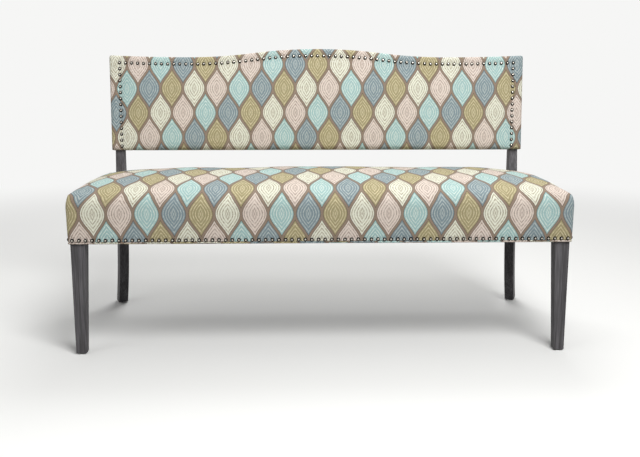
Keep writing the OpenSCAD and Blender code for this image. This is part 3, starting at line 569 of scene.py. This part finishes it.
def numbered(points, columns):
    """The points' numbers by column and row."""
    return np.arange(len(points)).reshape(columns, -1).tolist()


def squares(last_i, last_j):
    """The four corners of each square of a grid."""
    return [[(i, j), (i + 1, j), (i + 1, j + 1), (i, j + 1)] for i in range(last_i) for j in range(last_j)]


def once_round(last_i, last_j):
    """The outermost places of a grid, in order."""
    return ([(i, 0) for i in range(last_i)] + [(last_i, j) for j in range(last_j)]
            + [(i, last_j) for i in range(last_i, 0, -1)] + [(0, j) for j in range(last_j, 0, -1)])


half_line = spaced(0, (post_in, 72), (post_out, 4), (rim_x, 5))
seat_x = np.concatenate([-half_line[:0:-1], half_line])
slot_front = rear_face - 0.0435 - mid_y
seat_y = spaced(-rim_y, (-half_d + 0.028, 4), (slot_front, 52), (rim_y, 6))
last_x, last_y = len(seat_x) - 1, len(seat_y) - 1
points = [seat_top(x, y) for x in seat_x for y in seat_y]
grid = numbered(points, len(seat_x))
run_up = 0.131 + arc_length(np.array([points[number] for number in grid[len(half_line) - 1]]))
panels, cloth_uv = [], []
for corners in squares(last_x, last_y):
    (i, j), (next_i, _) = corners[:2]
    if seat_y[j] < slot_front - 1e-6 or not post_in - 1e-6 <= abs(seat_x[i] + seat_x[next_i]) / 2 <= post_out:
        panels.append([grid[a][b] for a, b in corners])
        cloth_uv.append([(seat_x[a], run_up[b]) for a, b in corners])

# The walls go down from the rim in rings, and the last three turn under onto the rails.
rim = once_round(last_x, last_y)
ring_z = np.array([125, 119, 110, 99, 87, 74, 61, 49, 38, 29, 21, 15, 11, 7, 3, 0]) / 1000
rings, drops = [[grid[i][j] for i, j in rim]], [0.1295]
for height, inset in ([(z, float(eased_line(z, wall_z, wall_in))) for z in ring_z]
                      + [(-0.0002, 0.0065), (-0.0003, 0.0095), (-0.0003, 0.0135)]):
    rings.append(range(len(points), len(points) + len(rim)))
    drops.append(height if height >= 0 else -inset + 0.004)
    for i, j in rim:
        x = seat_x[i] * (half_w - inset) / rim_x
        y = seat_y[j] * (half_d - inset) / rim_y
        points.append((*rounded(x, y, half_w - inset, half_d - inset, max(0.005, 0.014 - inset)), height))


def wall_uv(k, drop, face):
    """Cloth place on a wall; the front and rear keep the pattern upright, the sides fold it down."""
    i, j = rim[k]
    down = drops[0] - drop
    if face == "front":
        return seat_x[i] + math.copysign(max(0, seat_y[j] - seat_y[0]), seat_x[i]), drop + 0.0015
    if face == "rear":
        return seat_x[i] + math.copysign(max(0, seat_y[-1] - seat_y[j]), seat_x[i]), run_up[-1] + down
    return math.copysign(rim_x + down, seat_x[i]), run_up[j]


front_turn = int(np.searchsorted(seat_y, -half_d + 0.016))
for k, (i, j) in enumerate(rim):
    n = (k + 1) % len(rim)
    i2, j2 = rim[n]
    face = "front" if max(j, j2) <= front_turn else "rear"
    if i == i2 and min(j, j2) >= front_turn and max(j, j2) <= last_y - 2:
        face = "side"
    for upper, lower, high, low in zip(rings[:-1], rings[1:], drops[:-1], drops[1:]):
        panels.append([upper[k], lower[k], lower[n], upper[n]])
        cloth_uv.append([wall_uv(k, high, face), wall_uv(k, low, face), wall_uv(n, low, face),
                         wall_uv(n, high, face)])


def turned_in(mesh, chosen, moves):
    """Turns the cut edges of a cover in, a step for each move."""
    slit = bmesh.new()
    slit.from_mesh(mesh)
    for move in moves:
        cut = [edge for edge in slit.edges if edge.is_boundary and all(chosen(vert.co) for vert in edge.verts)]
        for made in bmesh.ops.extrude_edge_only(slit, edges=cut)["geom"]:
            if isinstance(made, bmesh.types.BMVert):
                made.co += Vector(move)
    bmesh.ops.recalc_face_normals(slit, faces=slit.faces)
    slit.to_mesh(mesh)
    slit.free()


def places(mesh):
    """Where the mesh's points lie, a row for each."""
    out = np.empty(len(mesh.vertices) * 3, np.float32)
    mesh.vertices.foreach_get("co", out)
    return out.reshape(-1, 3).astype(float)


def put_back(mesh, at):
    mesh.vertices.foreach_set("co", at.astype(np.float32).ravel())
    mesh.update()


def settle(piece, held, pressure, most):
    """Blows the cover up over its filling with Blender's cloth, the held points pinned, and applies it."""
    before, frames = places(piece.data), 20
    group = piece.vertex_groups.new(name="Held")
    for number in np.flatnonzero(held > 0):
        group.add([int(number)], float(held[number]), "REPLACE")
    blow = piece.modifiers.new("Cover_cloth", "CLOTH")
    ways = blow.settings
    ways.quality, ways.mass = 6, 0.3
    ways.tension_stiffness = ways.compression_stiffness = 20
    ways.shear_stiffness, ways.bending_stiffness = 10, 2
    ways.vertex_group_mass = "Held"
    ways.use_pressure, ways.uniform_pressure_force = True, pressure
    ways.effector_weights.gravity = 0
    blow.collision_settings.use_collision = False
    blow.point_cache.frame_end = frames
    for number in range(1, frames + 1):
        scene.frame_set(number)
    blown = piece.evaluated_get(bpy.context.evaluated_depsgraph_get())
    move = places(blown.to_mesh()) - before
    blown.to_mesh_clear()
    piece.modifiers.remove(blow)
    scene.frame_set(1)
    length = np.linalg.norm(move, axis=1, keepdims=True)
    put_back(piece.data, before + move * np.minimum(1, most / np.maximum(length, 1e-9)))


def subdivided(piece):
    step = piece.modifiers.new("Finer", "SUBSURF")
    step.levels = step.render_levels = 1
    finer = bpy.data.meshes.new_from_object(piece.evaluated_get(bpy.context.evaluated_depsgraph_get()))
    piece.modifiers.remove(step)
    piece.data = finer


rng = np.random.default_rng(41)


def undulated(at, size):
    """Gentle unevenness of stuffing under a cover, the same each time."""
    waves = np.zeros(len(at))
    for length in (0.29, 0.21, 0.16, 0.12, 0.09, 0.07):
        heading = rng.normal(size=3)
        heading /= np.linalg.norm(heading)
        waves += length * np.sin(at @ heading * 2 * math.pi / length + rng.uniform(0, 6.28))
    return waves * size / 0.55


seat_mesh = shaped("Seat_pad", [(x, y + mid_y, z + base_z) for x, y, z in points], panels, cloth_uv)
turned_in(seat_mesh, lambda place: place.z > base_z + 0.05, ((0, 0, -0.004), (0, 0, -0.014)))
seat_pad = joined_on(seat_mesh, cloth)
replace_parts(seat_pad, "seat_cover", "seat_foam", "seat_wadding")

# Before it is blown up the top lies a little low. The foot and the edges of the slits are held
# fast, and the rest softly by the foam.
at = places(seat_pad.data)
x, y, z = at.T
over_top = np.clip((z - base_z - 0.10) / 0.04, 0, 1)
z -= crown(x, y - mid_y) * 0.075 * over_top
put_back(seat_pad.data, at)
from_slot = np.hypot(np.maximum(0, np.maximum(post_in - np.abs(x), np.abs(x) - post_out)),
                     np.maximum(0, slot_front + mid_y - y))
foot_held = np.clip(1 - (z - base_z - 0.012) / 0.02, 0, 1)
slot_held = np.clip(1 - from_slot / 0.012, 0, 1) * (z > base_z + 0.09)
settle(seat_pad, np.maximum(np.maximum(foot_held, slot_held), 0.35 - 0.22 * over_top), 2.4, 0.005)
subdivided(seat_pad)

# Then the cloth's own unevenness: soft waves, small folds that spread from each post, and the
# folded pleat on each side next to the front corner.
at = places(seat_pad.data)
x, y, z = at.T
top_share = np.clip((z - base_z - 0.10) / 0.05, 0, 1)
z += undulated(at, 0.0011) * top_share
y += undulated(at, 0.0006) * (1 - top_share)
post_x, post_y = np.abs(x) - (post_in + post_out) / 2, y - slot_front - mid_y
post_folds = np.sin(np.arctan2(post_y, post_x) * 5 + 1) * swell(np.hypot(post_x, post_y), 0.03, 0.035)
z += 0.0009 * post_folds * (z > base_z + 0.12)
low_share = np.clip(1.25 - (z - base_z) / 0.11, 0, 1) * (z < base_z + 0.13)
pleat = swell(y, mid_y - half_d + 0.020, 0.0028) * low_share * (np.abs(x) > half_w - 0.02)
x -= np.sign(x) * 0.0018 * pleat
put_back(seat_pad.data, at)


# Welt: a thin cord in a bias-cut strip of the seat's own cloth, sewn on all round its lower edge,
# just under the nails, where it hides the raw edge of the cover.
def tube(name, line, radius, sides):
    """A closed tube of bias-cut cloth along a line that lies level."""
    line, up_way = np.array(line), np.array((0, 0, 1))
    ahead = np.roll(line, -1, 0) - np.roll(line, 1, 0)
    ahead /= np.linalg.norm(ahead, axis=1, keepdims=True)
    run = arc_length(np.vstack([line, line[:1]]))
    at, faces, uv = [], [], []
    for place, side_way in zip(line, np.cross(ahead, up_way)):
        for s in range(sides):
            a = 2 * math.pi * s / sides
            at.append(place + radius * (math.cos(a) * side_way + math.sin(a) * up_way))
    bias, girth = math.sqrt(0.5), 2 * math.pi * radius / sides
    for k in range(len(line)):
        n = (k + 1) % len(line)
        for s in range(sides):
            faces.append([k * sides + s, n * sides + s, n * sides + (s + 1) % sides, k * sides + (s + 1) % sides])
            uv.append([((run[k + a] - (s + b) * girth) * bias, (run[k + a] + (s + b) * girth) * bias)
                       for a, b in ((0, 0), (1, 0), (1, 1), (0, 1))])
    return shaped(name, at, faces, uv)


welt_low, welt_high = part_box("seat_welt")
welt_r, welt_bend = (welt_high.z - welt_low.z) / 2, 0.0033
bend_x = welt_high.x - welt_r - welt_bend
bend_y = (welt_high.y - welt_low.y) / 2 - welt_r - welt_bend
welt_line = []
for corner_x, corner_y, start in ((1, -1, -90), (1, 1, 0), (-1, 1, 90), (-1, -1, 180)):
    for k in range(7):
        a = math.radians(start + 15 * k)
        welt_line.append(np.array((corner_x * bend_x + welt_bend * math.cos(a),
                                   mid_y + corner_y * bend_y + welt_bend * math.sin(a), welt_low.z + welt_r)))
welt_places = []
for here, there in zip(welt_line, welt_line[1:] + welt_line[:1]):
    steps = max(1, round(math.dist(here, there) / 0.006))
    welt_places += [here + (there - here) * k / steps for k in range(steps)]
seat_welt = joined_on(tube("Seat_welt_cord", welt_places, welt_r, 10), cloth)
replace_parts(seat_welt, "seat_welt")


# Trim nails: domed heads of nickelled brass on a short shank. The crown is coloured bright, as polished metal and
# as a painted highlight, and the turned-down rim dark, as antique patina and as painted shade. They are driven by
# hand, so each sits a hair off its place.
brass = Finish("Nail_metal_patina_and_painted_highlight", 0.2, 1.0)
from_crown = brass.node("ShaderNodeAttribute", {"attribute_name": "rim"}, {}, "Fac")
tarnish = brass.noise(brass.body(), 500, 3, 0.6)
# The bright crown colour is a painted highlight; the near-black band towards the rim is antique patina and painted
# shade.
patina_and_painted_shade = (from_crown + (tarnish - 0.5) * 0.2).band(0.33, 0.57)
brass.coloured(patina_and_painted_shade, (186, 180, 170), (13, 12, 11))
brass.set("Roughness", 0.22 + tarnish * 0.06 + patina_and_painted_shade * 0.12)
brass.relief(tarnish, 0.0002, 0.5)
nail_pitch, nail_sides, nail_r = 0.0195, 20, 5.5
# Radius and height of each ring of a head, in millimetres; the last two are the shank's.
nail_shape = [(0.0, 3.0), (1.6, 2.87), (3.1, 2.42), (4.3, 1.68), (5.1, 0.82), (nail_r, 0.15), (5.3, -0.5),
              (4.6, -0.6), (1.3, -0.8), (1.2, -4.0)]


def nail_places(name, out):
    """Where each nail of a row lies on the cloth: the middle of the flat side of its head."""
    row = bmesh.new()
    row.from_mesh(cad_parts[name].data)
    bmesh.ops.remove_doubles(row, verts=row.verts, dist=0.00002)
    left, found = dict.fromkeys(row.verts), []
    while left:
        todo, head = [left.popitem()[0]], []
        while todo:
            vert = todo.pop()
            head.append(vert.co)
            for edge in vert.link_edges:
                other = edge.other_vert(vert)
                if other in left:
                    del left[other]
                    todo.append(other)
        nearest = min(place.dot(out) for place in head)
        flat_side = [place for place in head if place.dot(out) < nearest + 0.0002]
        low, high = (Vector(map(pick, *flat_side, flat_side[0])) for pick in (min, max))
        found.append((low + high) / 2)
    row.free()
    return found


def drawn_to(piece, nails, out, along, puff):
    """Presses the cover in round its nails, and lets it stand in small scallops between them."""
    at = places(piece.data)
    out, along, nails = np.array(out), np.array(along), np.array(nails)
    rise = np.cross(along, out)
    close = np.flatnonzero(np.abs((at - nails.mean(0)) @ out) < 0.05)
    for part in np.array_split(close, max(1, len(close) // 4000)):
        off = at[part][:, None, :] - nails[None, :, :]
        nearest = np.argmin((off @ along) ** 2 + (off @ rise) ** 2, axis=1)
        off = off[np.arange(len(part)), nearest]
        s, h, depth = off @ along, off @ rise, off @ out
        dimple = 0.0026 * np.exp(-(s**2 + h**2) / 0.0066**2)
        between_nails = np.cos(2 * math.pi * np.clip(s / nail_pitch, -0.5, 0.5))
        scallop = 0.00055 * between_nails * np.exp(-np.abs(h) / 0.013) * puff
        at[part] -= out * ((dimple + scallop) * (np.abs(depth) < 0.012))[:, None]
    put_back(piece.data, at)


def nail_row(name, out, along, node, cover, puff=1.0):
    """A row of domed nail heads in place of the plain ones, pulled down into the cover."""
    out = Vector(out).normalized()
    middles = nail_places(node, out)
    drawn_to(cover, middles, out, Vector(along).normalized(), puff)
    at, faces, rim_share = [], [], []
    for place in middles:
        axis = (out + Vector(rng.normal(0, 0.03, 3))).normalized()
        one = axis.orthogonal().normalized()
        two = axis.cross(one)
        slip = one * float(rng.normal(0, 0.0002)) + two * float(rng.normal(0, 0.0002))
        start = len(at)
        for radius, height in nail_shape:
            for s in range(nail_sides if radius else 1):
                a = 2 * math.pi * s / nail_sides
                at.append(place + slip + axis * height / 1000
                          + (one * math.cos(a) + two * math.sin(a)) * radius / 1000)
                rim_share.append(radius / nail_r if height > 0 else 1.0)
        for s in range(nail_sides):
            n = (s + 1) % nail_sides
            faces.append([start, start + 1 + s, start + 1 + n])
            for k in range(len(nail_shape) - 2):
                a = start + 1 + k * nail_sides
                faces.append([a + s, a + nail_sides + s, a + nail_sides + n, a + n])
    mesh = shaped(name, at, faces)
    mesh.attributes.new("rim", "FLOAT", "POINT").data.foreach_set("value", rim_share)
    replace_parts(joined_on(mesh, brass), node)


nail_row("Seat_trim_nails_front", (0, -1, 0), (1, 0, 0), "seat_nails_front", seat_pad)
nail_row("Seat_trim_nails_left", (-1, 0, 0), (0, 1, 0), "seat_nails_left", seat_pad)
nail_row("Seat_trim_nails_right", (1, 0, 0), (0, 1, 0), "seat_nails_right", seat_pad)


# Back pad: the inside cover over foam on the back frame. It swells inside its nailed border,
# rolls under at the foot and wraps over its other edges to the outside back. On the back u runs
# across, v to the rear and w up its slope, all from the middle of its foot.
back_foot = Vector((0, mid_y - half_d + 0.5206, 0.557))
crest_base, hump_rise, hump_half, end_rise = 0.315, 0.028, 0.440, 0.006
panel_half, flare, corner_r = 0.704, 0.005, 0.008
edge_t, border_t, puff, puff_run, border_in, foot_t = 0.007, 0.019, 0.014, 0.055, 0.0415, 0.006
hump_r = (hump_half**2 / 4 + hump_rise**2 / 4) / hump_rise
cloth_foot, wrap_start, rear_v = 0.041, -0.0065, 0.0345


def crest(u):
    """Height of the back's top edge above its foot: a low hump that sweeps out to flat shoulders."""
    a = np.abs(u)
    dip = lambda x: hump_r - np.sqrt(np.maximum(0, hump_r**2 - x**2))
    rise = np.where(a < hump_half / 2, hump_rise - dip(np.minimum(a, hump_half / 2)),
                    dip(np.clip(hump_half - a, 0, hump_half / 2)))
    ends = end_rise * (np.maximum(0, a - hump_half) / (panel_half - hump_half)) ** 2
    return crest_base + np.where(a < hump_half, rise, ends)


def near_edge(u, w):
    """How far a place lies inside the back's top and side edges."""
    du, dw = panel_half + flare * w / crest_base - np.abs(u), crest(u) - w
    cu, cw = corner_r - du, corner_r - dw
    return np.where(np.minimum(cu, cw) > 0, corner_r - np.hypot(cu, cw), np.minimum(du, dw))


def quarter_round(at, radius):
    """From 0 to 1 as a rounded edge of that radius rises."""
    return np.sqrt(1 - (1 - np.clip(at, 0, radius) / radius) ** 2)


def pad_t(u, w):
    """How thick the padding is: thin at the edges, flat under the nails, full inside them."""
    d = np.maximum(0, near_edge(u, w))
    inner = np.maximum(0, d - border_in) / puff_run
    full = np.where(d < 0.012, edge_t + (border_t - edge_t) * quarter_round(d, 0.012),
                    border_t + puff * (1 - np.exp(-inner)))
    return foot_t + (full - foot_t) * quarter_round(w, 0.011 + 0.021 * np.minimum(inner, 1))


def on_back(u, v, w):
    """A point of the back's sloping plane, in the bench's frame."""
    return (u, back_foot.y + v * math.cos(rake) + w * math.sin(rake),
            back_foot.z - v * math.sin(rake) + w * math.cos(rake))


def panel_place(u, w, top):
    """A place of the flat panel, with its upper corners rounded and its sides flared."""
    pu, pw = rounded(u, w, panel_half, top, corner_r) if w > top / 2 else (u, w)
    return pu * (1 + flare * pw / crest_base / panel_half), pw


from_edge = np.array([0, 0.9, 2.5, 5.5, 10, 15, 20, 25, 31, 38, 44, 51, 60]) / 1000
from_foot = np.array([0, 0.8, 2.5, 6, 11, 17, 24, 32, 41]) / 1000
from_side = np.array([0, 0.9, 2.5, 5.5, 9, 15, 22, 29, 36, 41, 47, 53, 60]) / 1000
from_side[4], from_side[9] = panel_half - post_out, panel_half - post_in
middle_u = np.linspace(-panel_half + from_side[-1], panel_half - from_side[-1], 143)[1:-1]
back_u = np.concatenate([-panel_half + from_side, middle_u, panel_half - from_side[::-1]])
flat_at = []
for u in back_u:
    top = float(crest(u * (1 + flare / panel_half)))
    middle_w = np.linspace(from_foot[-1], top - from_edge[-1], 27)[1:-1]
    flat_at += [panel_place(u, w, top) for w in np.concatenate([from_foot, middle_w, top - from_edge[::-1]])]
grid = numbered(flat_at, len(back_u))
last_u, last_w = len(back_u) - 1, len(grid[0]) - 1
points = [(u, -float(pad_t(u, w)), w) for u, w in flat_at]
panels = [[grid[a][b] for a, b in corners] for corners in squares(last_u, last_w)]
cloth_uv = [[(flat_at[number][0], flat_at[number][1] + cloth_foot) for number in panel] for panel in panels]

# The wrapped edges go back from the rim in rings; round the posts they leave a hole in the foot.
rim = once_round(last_u, last_w)
rings, depths = [[grid[i][j] for i, j in rim]], [wrap_start]
for depth, inset in ((-0.004, 0), (-0.001, 0), (0.007, 0), (0.015, 0), (0.024, 0), (0.0328, 0),
                     (0.0342, 0.0008), (rear_v, 0.004), (rear_v, 0.012)):
    rings.append(range(len(points), len(points) + len(rim)))
    depths.append(depth + inset)
    for u, w in (flat_at[number] for number in rings[0]):
        points.append((u * (1 - inset / panel_half), depth, inset + w * (1 - 2 * inset / 0.32)))
for k, (i, j) in enumerate(rim):
    n = (k + 1) % len(rim)
    i2, j2 = rim[n]
    foot_side = j == 0 and j2 == 0
    post_hole = foot_side and post_in - 1e-6 < abs(back_u[i] + back_u[i2]) / 2 < post_out + 1e-6
    for upper, lower, front, behind in zip(rings[:-1], rings[1:], depths[:-1], depths[1:]):
        if post_hole and front >= -0.0011 and behind <= 0.0330:
            continue
        panels.append([upper[k], lower[k], lower[n], upper[n]])
        uv = []
        for number, run in ((k, front), (k, behind), (n, behind), (n, front)):
            (u, w), past = flat_at[rings[0][number]], run - wrap_start
            if foot_side:
                uv.append((u, w + cloth_foot - past))
            elif i == i2 and i in (0, last_u):
                uv.append((u + math.copysign(past, u), w + cloth_foot))
            else:
                uv.append((u, w + cloth_foot + past))
        cloth_uv.append(uv)
back_mesh = shaped("Back_pad", [on_back(*place) for place in points], panels, cloth_uv)
before_rear = on_back(0, 0.0335, 0)[1]
facing, up_slope = np.array((0, -math.cos(rake), math.sin(rake))), np.array((0, math.sin(rake), math.cos(rake)))
turned_in(back_mesh, lambda place: place.y < before_rear, [up_slope * 0.012])
back_pad = joined_on(back_mesh, cloth)
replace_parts(back_pad, "back_cover", "back_foam", "back_side_padding")

# Only the field inside the nailed border is free to blow up; it starts a little low.
at = places(back_pad.data)
field_u, field_w = np.array(flat_at).T
held = np.ones(len(at))
held[:len(flat_at)] = np.maximum(np.clip(1 - (near_edge(field_u, field_w) - 0.027) / 0.02, 0, 1),
                                 np.clip(1 - (field_w - 0.004) / 0.02, 0, 1))
at -= facing * (0.0025 * (1 - held))[:, None]
put_back(back_pad.data, at)
settle(back_pad, held, 4, 0.006)
subdivided(back_pad)

# Then soft waves, a pleat low on each wrapped side, and a crease up each side's lower border.
at = places(back_pad.data)
off = at - np.array(back_foot)
depth, height = off @ facing, off @ up_slope
in_front = np.clip(depth / 0.02, 0, 1)
at += facing * (undulated(at, 0.0008) * in_front)[:, None]
wrap = (np.abs(off[:, 0]) > panel_half - 0.006) * np.clip(1.1 - height / 0.13, 0, 1)
at[:, 0] -= np.sign(at[:, 0]) * wrap * 0.0022 * swell(depth, 0.001 + 0.02 * height, 0.003)
crease = swell(np.abs(off[:, 0]), panel_half - 0.0095 + 0.03 * height, 0.0032)
at -= facing * (0.0016 * np.clip(1.25 - height / 0.085, 0, 1) * in_front * crease)[:, None]
put_back(back_pad.data, at)
nail_row("Back_trim_nails_top", facing, (1, 0, 0), "back_nails_top", back_pad, 0.8)
nail_row("Back_trim_nails_left", facing, up_slope, "back_nails_left", back_pad, 0.8)
nail_row("Back_trim_nails_right", facing, up_slope, "back_nails_right", back_pad, 0.8)

# Outside back: a stiff board on the posts and rails, and the same cloth stretched over it with its
# edges turned under and slip-stitched by hand to the wrapped cover.
liner = Finish("Upholstery_board", 0.8)
board_fibres = liner.noise(liner.stretched(liner.body(), (120, 900, 500)), 1, 4, 0.65)
board_specks = liner.noise(liner.body(), 900, 2)
liner.coloured(board_fibres, (150, 132, 106), (184, 168, 142))
liner.set("Roughness", 0.7 + board_specks * 0.2)
liner.relief(board_fibres + board_specks * 0.5, 0.0003, 0.6)
dress("outside_back_liner", liner)

outside_v, stitch_gap = 0.0352, 0.016
hem = np.array([0, 0.6, 1.6, 3.2, 5.5, 9, 14, 20]) / 1000
outside_u = np.concatenate([hem - panel_half, np.linspace(-1, 1, 121)[3:-3] * (panel_half - hem[-1]),
                            panel_half - hem[::-1]])
points = []
for u in outside_u:
    top = float(crest(u * (1 + flare / panel_half)))
    middle_w = np.linspace(hem[-1], top - hem[-1], 32)[1:-1]
    for pu, pw in (panel_place(u, w, top) for w in np.concatenate([hem, middle_w, top - hem[::-1]])):
        d = min(float(near_edge(pu, pw)), pw)
        pull = 0.0003 * math.sin(pu * 2 * math.pi / stitch_gap) * math.exp(-d / 0.008)
        turned_under = 0.0011 * max(0, 1 - d / 0.0045) ** 2 + 0.0003 * swell(d, 0.02, 0.02)
        points.append((pu * (1 - 0.0006 / panel_half), outside_v - turned_under + pull, 0.0004 + pw * 0.998))
grid = numbered(points, len(outside_u))
panels = [[grid[a][b] for a, b in corners[:1] + corners[:0:-1]]
          for corners in squares(len(grid) - 1, len(grid[0]) - 1)]
cloth_uv = [[(0.019 - points[number][0], points[number][2] + 0.022) for number in panel] for panel in panels]
outside_mesh = shaped("Outside_back_cloth", [on_back(*place) for place in points], panels, cloth_uv)
outside_back = thickened(joined_on(outside_mesh, cloth), 0.0006)
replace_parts(outside_back, "outside_back_cover")


# Slip stitches: short slanting stitches of waxed thread, sewn by hand along the folded sides and
# top of the outside back.
def strand(at, faces, sections):
    """Adds a thin four-cornered strand through its sections, with open ends."""
    base = len(at)
    at += [place for section in sections for place in section]
    faces += [[base + 4 * k + c, base + 4 * k + (c + 1) % 4, base + 4 * k + 4 + (c + 1) % 4, base + 4 * k + 4 + c]
              for k in range(len(sections) - 1) for c in range(4)]
    return base


waxed = Finish("Slip_stitch_thread", 0.7)
twist = waxed.noise(waxed.body(), 2500, 2)
waxed.coloured(twist, (120, 102, 90), (168, 150, 136))
waxed.relief(twist, 0.0002, 0.6)
stitch_pitch, stitch_length, stitch_r, seam_in = 0.0085, 0.0042, 0.00028, 0.0022
side_seams = [(way * (panel_half + flare * w / crest_base - seam_in), w, math.pi / 2) for way in (-1, 1)
              for w in np.arange(0.008, 0.308, stitch_pitch)]
top_seam = [(u, float(crest(u)) - seam_in, 0) for u in np.arange(-0.69, 0.691, stitch_pitch)]
at, faces = [], []
for u, w, slope in side_seams + top_seam:
    lean = slope + 0.5 + float(rng.normal(0, 0.08))
    ahead = np.array((math.cos(lean), math.sin(lean)))
    aside = np.array((-ahead[1], ahead[0])) * stitch_r
    sections = []
    for k in range(5):
        run, lift = (k / 4 - 0.5) * stitch_length, 0.00035 * math.sin(math.pi * k / 4)
        ring = [(np.array((u, w)) + ahead * run + aside * way, out)
                for way, out in ((1, 0), (0, stitch_r), (-1, 0), (0, -stitch_r))]
        sections.append([on_back(q[0], outside_v + lift + out, q[1]) for q, out in ring])
    base = strand(at, faces, sections)
    faces += [[base, base + 3, base + 2, base + 1], [base + 16, base + 17, base + 18, base + 19]]
stitches = joined_on(shaped("Slip_stitches", at, faces), waxed)

# Dust cover: black non-woven cloth under the seat, its edges folded in and stapled to the rails,
# cut round the four legs; it sags a little in the middle.
dust = Finish("Black_dust_cloth", 0.95)
dust_at = dust.body()
dust_fibres = dust.noise(dust_at, 420, 5, 0.75)
dust_pits = dust.node("ShaderNodeTexVoronoi", {}, {"Vector": dust_at, "Scale": 620})
dust.coloured(dust_fibres, (20, 20, 22), (52, 52, 54))
dust.set("Roughness", 0.85 + dust_pits * 0.1)
dust.relief(dust_fibres * 0.5 + dust_pits * 0.5, 0.0003, 0.8)
dust_low, dust_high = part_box("dust_cover")
clear_x, clear_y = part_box("front_leg_right")[0].x - 0.001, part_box("front_leg_right")[0].y + 0.043
turn_out, leg_x, leg_y = math.radians(22), post_out - 0.006, rear_face - 0.056
half_thick, half_wide, cut_x, cut_y = 0.01575, 0.023, 0.0167, 0.024
folded_in = np.array([0, 0.011, 0.0125])


def dust_lines(low, high, count, *more):
    """Where the cloth's grid lines run: evenly, at its folded edges and at the cuts."""
    return np.unique(np.round(np.concatenate([np.linspace(low, high, count), more, low + folded_in,
                                              high - folded_in]), 5))


def in_leg(x, y):
    """Where a point lies in the turned section of the rear leg, from its middle."""
    dx, dy = abs(x) - leg_x, y - leg_y
    return (dx * math.cos(turn_out) - dy * math.sin(turn_out) + half_thick,
            dx * math.sin(turn_out) + dy * math.cos(turn_out) - half_wide)


def clear_of_legs(x, y):
    lx, ly = in_leg(x, y)
    return not (abs(x) > clear_x and y < clear_y) and not (abs(lx) < cut_x and abs(ly) < cut_y)


def dust_height(x, y):
    """The sagging middle, the doubled edge, and the puckers between the staples."""
    from_end, from_long = min(x - dust_low.x, dust_high.x - x), min(y - dust_low.y, dust_high.y - y)
    edge, mid = min(from_end, from_long), (dust_low.y + dust_high.y) / 2
    middle = (1 - (x / dust_high.x) ** 2) * (1 - ((y - mid) / (dust_high.y - mid)) ** 2)
    along_edge = x if from_long < from_end else y
    pucker = 0.0004 * math.cos(along_edge * 2 * math.pi / 0.045) * math.exp(-edge / 0.02)
    return dust_low.z + 0.0003 - (0.0005 if edge < 0.0118 else 0) - 0.0035 * max(0, middle) ** 0.7 + pucker


dust_mesh = cut_sheet("Dust_cover", dust_lines(dust_low.x, dust_high.x, 161, -clear_x, clear_x),
                      dust_lines(dust_low.y, dust_high.y, 65, clear_y), dust_height, clear_of_legs)
cut = bmesh.new()
cut.from_mesh(dust_mesh)
for vert in cut.verts:
    lx, ly = in_leg(vert.co.x, vert.co.y)
    if vert.is_boundary and abs(lx) < 0.026 and abs(ly) < 0.034:
        if abs(lx) / cut_x > abs(ly) / cut_y:
            lx, ly = math.copysign(cut_x, lx), max(-cut_y, min(cut_y, ly))
        else:
            lx, ly = max(-cut_x, min(cut_x, lx)), math.copysign(cut_y, ly)
        lx, ly = lx - half_thick, ly + half_wide
        vert.co.x = math.copysign(leg_x + lx * math.cos(turn_out) + ly * math.sin(turn_out), vert.co.x)
        vert.co.y = leg_y - lx * math.sin(turn_out) + ly * math.cos(turn_out)
cut.to_mesh(dust_mesh)
cut.free()
dust_cover = thickened(joined_on(dust_mesh, dust), 0.0004)
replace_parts(dust_cover, "dust_cover")

# Staples: flat steel wire, driven through the dust cover's folded edge along all four rails.
# Each lies a little askew, as the gun left it.
staple_in = 0.006
spots = [(x, y, 0) for y in (dust_low.y + staple_in, dust_high.y - staple_in)
         for x in np.arange(-0.652, 0.653, 0.0453)]
spots += [(x, y, math.pi / 2) for x in (dust_low.x + staple_in, dust_high.x - staple_in)
          for y in np.arange(-0.2, 0.161, 0.045)]
# The wire's section, and where it bends on its way down into the rail at both ends.
wire = [(-0.0006, 0.0003), (-0.0006, -0.0002), (0.0006, -0.0002), (0.0006, 0.0003)]
bent = [(-0.0052, 0.0012), (-0.0048, 0), (-0.0025, -0.0001), (0.0025, -0.0001), (0.0048, 0), (0.0052, 0.0012)]
at, faces = [], []
for x, y, lie in spots:
    lie += float(rng.normal(0, 0.12))
    ahead, aside = Vector((math.cos(lie), math.sin(lie), 0)), Vector((-math.sin(lie), math.cos(lie), 0))
    middle = Vector((x, y, dust_height(x, y) - 0.0006))
    strand(at, faces, [[middle + ahead * run + aside * wide + Vector((0, 0, lift + high))
                        for wide, high in wire] for run, lift in bent])
staples = joined_on(shaped("Dust_cover_staples", at, faces), steel, False)
